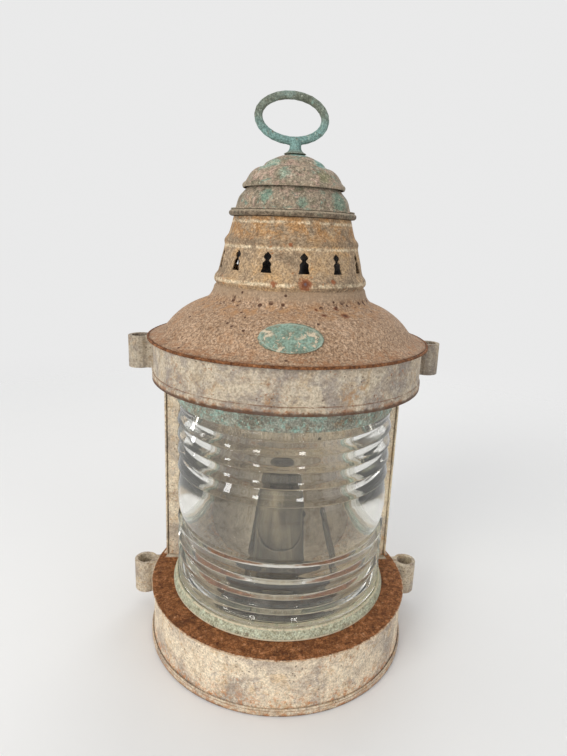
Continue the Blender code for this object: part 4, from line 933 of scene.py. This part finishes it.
def make_hood():
    low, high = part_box("hood_skirt")
    band = low.z + skirt_band_height
    # The skirt's zinc is set darker, level 0.87, as painted shade under the dome's overhang.
    skirt = zinc("skirt_zinc", 0.87, lines=(band,), dark_edge=low.z + 0.0012, warmth=0.3, mauve=1.2, shift=71.0,
                 ochre_spots=((at(high.x, math.radians(20), low.z + 0.011), 0.007),
                              (at(high.x, math.radians(25), low.z + 0.017), 0.004),
                              (at(high.x, math.radians(-9), low.z + 0.009), 0.004)))
    turned("hood_skirt", skirt)
    rim, neck = (corner.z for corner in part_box("dome"))
    chimney_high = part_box("chimney")[1]
    head = chimney_high.z
    dome = dome_rust("dome_rust", rim, chimney_high.x, dome_blots, pit_row)
    turned("dome", dome)
    turned("dome_wired_edge", deep_rust("rim_rust_wire", beyond, 0.92))
    # Height bands of the painted shade in the chimney's hollows and of the painted highlights on its ridges.
    shaded_grooves = ((neck + 0.0295, neck + 0.0326),)
    highlit_crests = ((neck + 0.0046, neck + 0.0066), (neck + 0.0268, neck + 0.0284), (head - 0.0040, head - 0.0024))
    chimney = chimney_rust("chimney_rust", head, chimney_blots, shaded_grooves, highlit_crests)
    turned("chimney", chimney, azimuth=math.radians(270), tool=vent_tool())
    seam = [Vector((radius, neck + height)) for radius, height in seam_outline]
    new_piece("fine_neck_seam", spun_mesh("neck_seam", seam, True, full_steps), dome, [], "root")
    flue = aged_metal("flue_metal", (70, 66, 64), (104, 100, 98), (134, 128, 122), (90, 66, 48), 0.6, 0.3, 5.0)
    turned("inner_flue", flue)
    for number in (1, 2, 3):
        refined("flue_bracket_%d" % number, flue)
    turned("soffit_plate", zinc("soffit_zinc", shift=91.0))
    low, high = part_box("badge")
    plate = badge_finish("badge_finish", (low + high) / 2, ((high.x - low.x) / 2, (high.z - low.z) / 2), badge_turn)
    cast("badge", plate, voxel=0.0003, rounds=4, unevenness=0.00003)


def make_top():
    bead_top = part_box("crown_bead")[1].z
    turned("crown_bead", bronze("bead_bronze", bead_top), fillet=0.0007)
    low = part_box("crown")[0]
    copper = brown_copper("crown_copper", 0.98, 0.6, 0.7, shift=1.0, blobs=(
        (at(0.036, math.radians(-32), low.z + 0.009), 0.0055, (112, 142, 124)),
        (at(0.036, math.radians(50), low.z + 0.006), 0.0090, (110, 138, 120)),
        (at(0.036, math.radians(5), low.z + 0.004), 0.0050, (118, 140, 122))))
    turned("crown", copper)
    low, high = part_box("cap")
    cap = brown_copper("cap_copper", 1.02, 0.9, 0.7, dark_below=low.z, shift=9.0, blobs=(
        (at(0.006, math.radians(10), high.z), 0.0085, (110, 160, 152)),
        (at(0.022, math.radians(-50), high.z - 0.008), 0.0085, (140, 166, 148)),
        (at(0.028, math.radians(-15), low.z + 0.006), 0.0060, (150, 168, 148)),
        (at(0.020, math.radians(55), high.z - 0.006), 0.0070, (118, 162, 152)),
        (at(0.028, math.radians(35), low.z + 0.004), 0.0080, (128, 126, 94))))
    turned("cap", cap)
    for number in (1, 2, 3):
        refined("cap_leg_%d" % number, copper)
    foot = high.z
    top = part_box("hoisting_ring")[1].z
    tones = ((90, 94, 80), (114, 120, 106), (126, 142, 132))
    ring = verdigris("ring_verdigris", tones, 1.0, 0.3, 0.4, foot_rust=foot, bluer_below=(foot + top) / 2, shift=3.0)
    cast("hoisting_ring", ring, rounds=10)


def make_lugs():
    # Both pairs of lugs get darker copies of one zinc as painted shade, the upper pair darker still.
    for level, painted_shade_level in (("upper", 0.80), ("lower", 0.88)):
        lug = zinc("lug_zinc_shaded_" + level, painted_shade_level, warmth=0.8, shift=101.0)
        for side in ("left", "right"):
            cast("guide_lug_{}_{}".format(level, side), lug, rounds=3)


def make_inside():
    tin = aged_metal("font_tin", (44, 44, 46), (70, 70, 72), (98, 96, 94), (92, 62, 40), 0.5, 0.6, 2.0)
    brass = aged_metal("old_brass", (62, 54, 42), (92, 82, 66), (122, 110, 90), (82, 88, 72), 0.5, 0.7, 3.0)
    steel = aged_metal("dull_steel", (84, 80, 76), (118, 114, 108), (146, 142, 136), (128, 80, 48), 0.55, 0.7, 4.0)
    turned("font_seat", steel)
    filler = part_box("filler_neck")
    hub = (filler[0] + filler[1]) / 2
    font_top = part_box("oil_font")[1].z
    hole = rod_mesh(filler_bore, Vector((hub.x, hub.y, font_top - filler_bore_reach)),
                    Vector((hub.x, hub.y, font_top + filler_bore_reach)))
    turned("oil_font", tin, body="font", steps=96, fillet=0.0008, tool=hole)
    turned("font_collar", brass, body="font", steps=small_steps)
    low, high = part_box("wick_spindle")
    axis = (low + high) / 2
    bore = rod_mesh(spindle_bore, *(Vector((end, axis.y, axis.z)) for end in spindle_bore_ends))
    turned("burner_base", brass, body="font", azimuth=math.radians(270), steps=small_steps, tool=bore)
    cone_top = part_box("burner_cone")[1].z
    slot = box_mesh(Vector((-cone_slot[0] / 2, -cone_slot[1] / 2, cone_top - cone_slot_depth)),
                    Vector((cone_slot[0] / 2, cone_slot[1] / 2, cone_top + cone_slot_depth)))
    turned("burner_cone", brass, body="font", azimuth=math.radians(270), steps=small_steps, tool=slot)
    for node in ("wick_tube", "filler_neck"):
        refined(node, brass, "font")
    refined("filler_cap", brass, "filler_cap")
    refined("wick", woven_wick("wick_cotton"), "wick")
    for node in ("wick_spindle", "wick_knob"):
        refined(node, brass, "wick_key")
    for node in ("door_knob", "door_knob_rivet"):
        refined(node, brass, "door")
    for number in (1, 2):
        refined("hinge_pin_%d" % number, steel, bevel=hinge_bevel, dented=False)
        refined("hinge_shell_leaf_%d" % number, steel, bevel=hinge_bevel, dented=False)
        refined("hinge_door_leaf_%d" % number, steel, "door", bevel=hinge_bevel, dented=False)
        refined("door_catch_rivet_%d" % number, steel)
    for node in ("door_catch", "ring_washer", "ring_nut"):
        refined(node, steel)


# Studio

def make_floor():
    """Pale paper that fades into the backdrop, so no horizon shows."""
    bpy.ops.mesh.primitive_circle_add(vertices=96, radius=4.0, fill_type="NGON")
    floor = bpy.context.object
    floor.name = "studio_floor"
    p = Patina("floor_paper")
    p.shader.inputs["Base Color"].default_value = linear(*floor_tone)
    p.shader.inputs["Roughness"].default_value = 0.9
    p.see_through(p.step(p.radius, *floor_fade))
    floor.data.materials.append(p.material)


def make_world():
    """Soft light from all round; the camera, gloss and glass see a paler backdrop."""
    world = bpy.data.worlds.new("studio")
    bpy.context.scene.world = world
    world.use_nodes = True
    nodes = world.node_tree.nodes
    links = world.node_tree.links
    light = nodes["Background"]
    light.inputs["Color"].default_value = (0.95, 0.97, 1.0, 1.0)
    light.inputs["Strength"].default_value = sky_light
    shown = nodes.new("ShaderNodeBackground")
    shown.inputs["Color"].default_value = (1.0, 1.0, 1.0, 1.0)
    shown.inputs["Strength"].default_value = sky_shown
    path = nodes.new("ShaderNodeLightPath")
    seen = path.outputs["Is Camera Ray"]
    for kind in ("Is Glossy Ray", "Is Transmission Ray"):
        either = nodes.new("ShaderNodeMath")
        either.operation = "MAXIMUM"
        links.new(seen, either.inputs[0])
        links.new(path.outputs[kind], either.inputs[1])
        seen = either.outputs[0]
    choose = nodes.new("ShaderNodeMixShader")
    links.new(seen, choose.inputs[0])
    links.new(light.outputs[0], choose.inputs[1])
    links.new(shown.outputs[0], choose.inputs[2])
    links.new(choose.outputs[0], nodes["World Output"].inputs["Surface"])


def softbox(name, place, size, power, colour=(1.0, 1.0, 1.0), mirrored=True):
    """An area lamp that faces the lantern; gloss shows it only if it is mirrored."""
    data = bpy.data.lights.new(name, "AREA")
    data.shape = "RECTANGLE"
    data.size, data.size_y = size
    data.energy = power
    data.color = colour
    lamp = bpy.data.objects.new(name, data)
    bpy.context.scene.collection.objects.link(lamp)
    lamp.location = place
    lamp.visible_glossy = mirrored
    lamp.rotation_euler = (lamp_target - Vector(place)).to_track_quat("-Z", "Y").to_euler()


def make_lights():
    softbox("key_softbox", (-1.1, -1.2, 0.95), (0.8, 0.8), 14.0, (1.0, 0.98, 0.95), False)
    softbox("fill_softbox", (1.2, -0.9, 0.6), (0.8, 1.0), 3.0)
    softbox("top_softbox", (0.0, 0.3, 1.5), (1.2, 0.9), 3.0)
    softbox("back_softbox", (0.4, 1.4, 0.9), (1.0, 0.8), 6.0)
    for number, azimuth in enumerate(window_azimuths):
        softbox("window_%d" % number, at(1.2, math.radians(azimuth), 0.32), window_size, window_power)


def make_camera():
    data = bpy.data.cameras.new("photo_camera")
    data.sensor_width = sensor_mm
    data.lens = focal_px / frame_height_px * sensor_mm
    data.clip_start = 0.01
    data.clip_end = 20.0
    forward = Vector((math.sin(camera_yaw) * math.cos(camera_pitch), math.cos(camera_yaw) * math.cos(camera_pitch),
                      -math.sin(camera_pitch)))
    right = Vector((math.cos(camera_yaw), -math.sin(camera_yaw), 0.0))
    up = right.cross(forward)
    level = Matrix.Rotation(camera_azimuth, 3, "Z")
    across = level @ (math.cos(camera_roll) * right + math.sin(camera_roll) * up)
    above = level @ (math.cos(camera_roll) * up - math.sin(camera_roll) * right)
    camera = bpy.data.objects.new("photo_camera", data)
    bpy.context.scene.collection.objects.link(camera)
    camera.matrix_world = Matrix.Translation(at(camera_distance, camera_azimuth, camera_height)) @ Matrix(
        (across, above, -(level @ forward))).transposed().to_4x4()
    bpy.context.scene.camera = camera


make_camera()
make_world()
make_lights()
make_floor()
make_base()
make_lens()
make_back()
make_hood()
make_top()
make_lugs()
make_inside()
bpy.context.scene.view_settings.view_transform = "Standard"
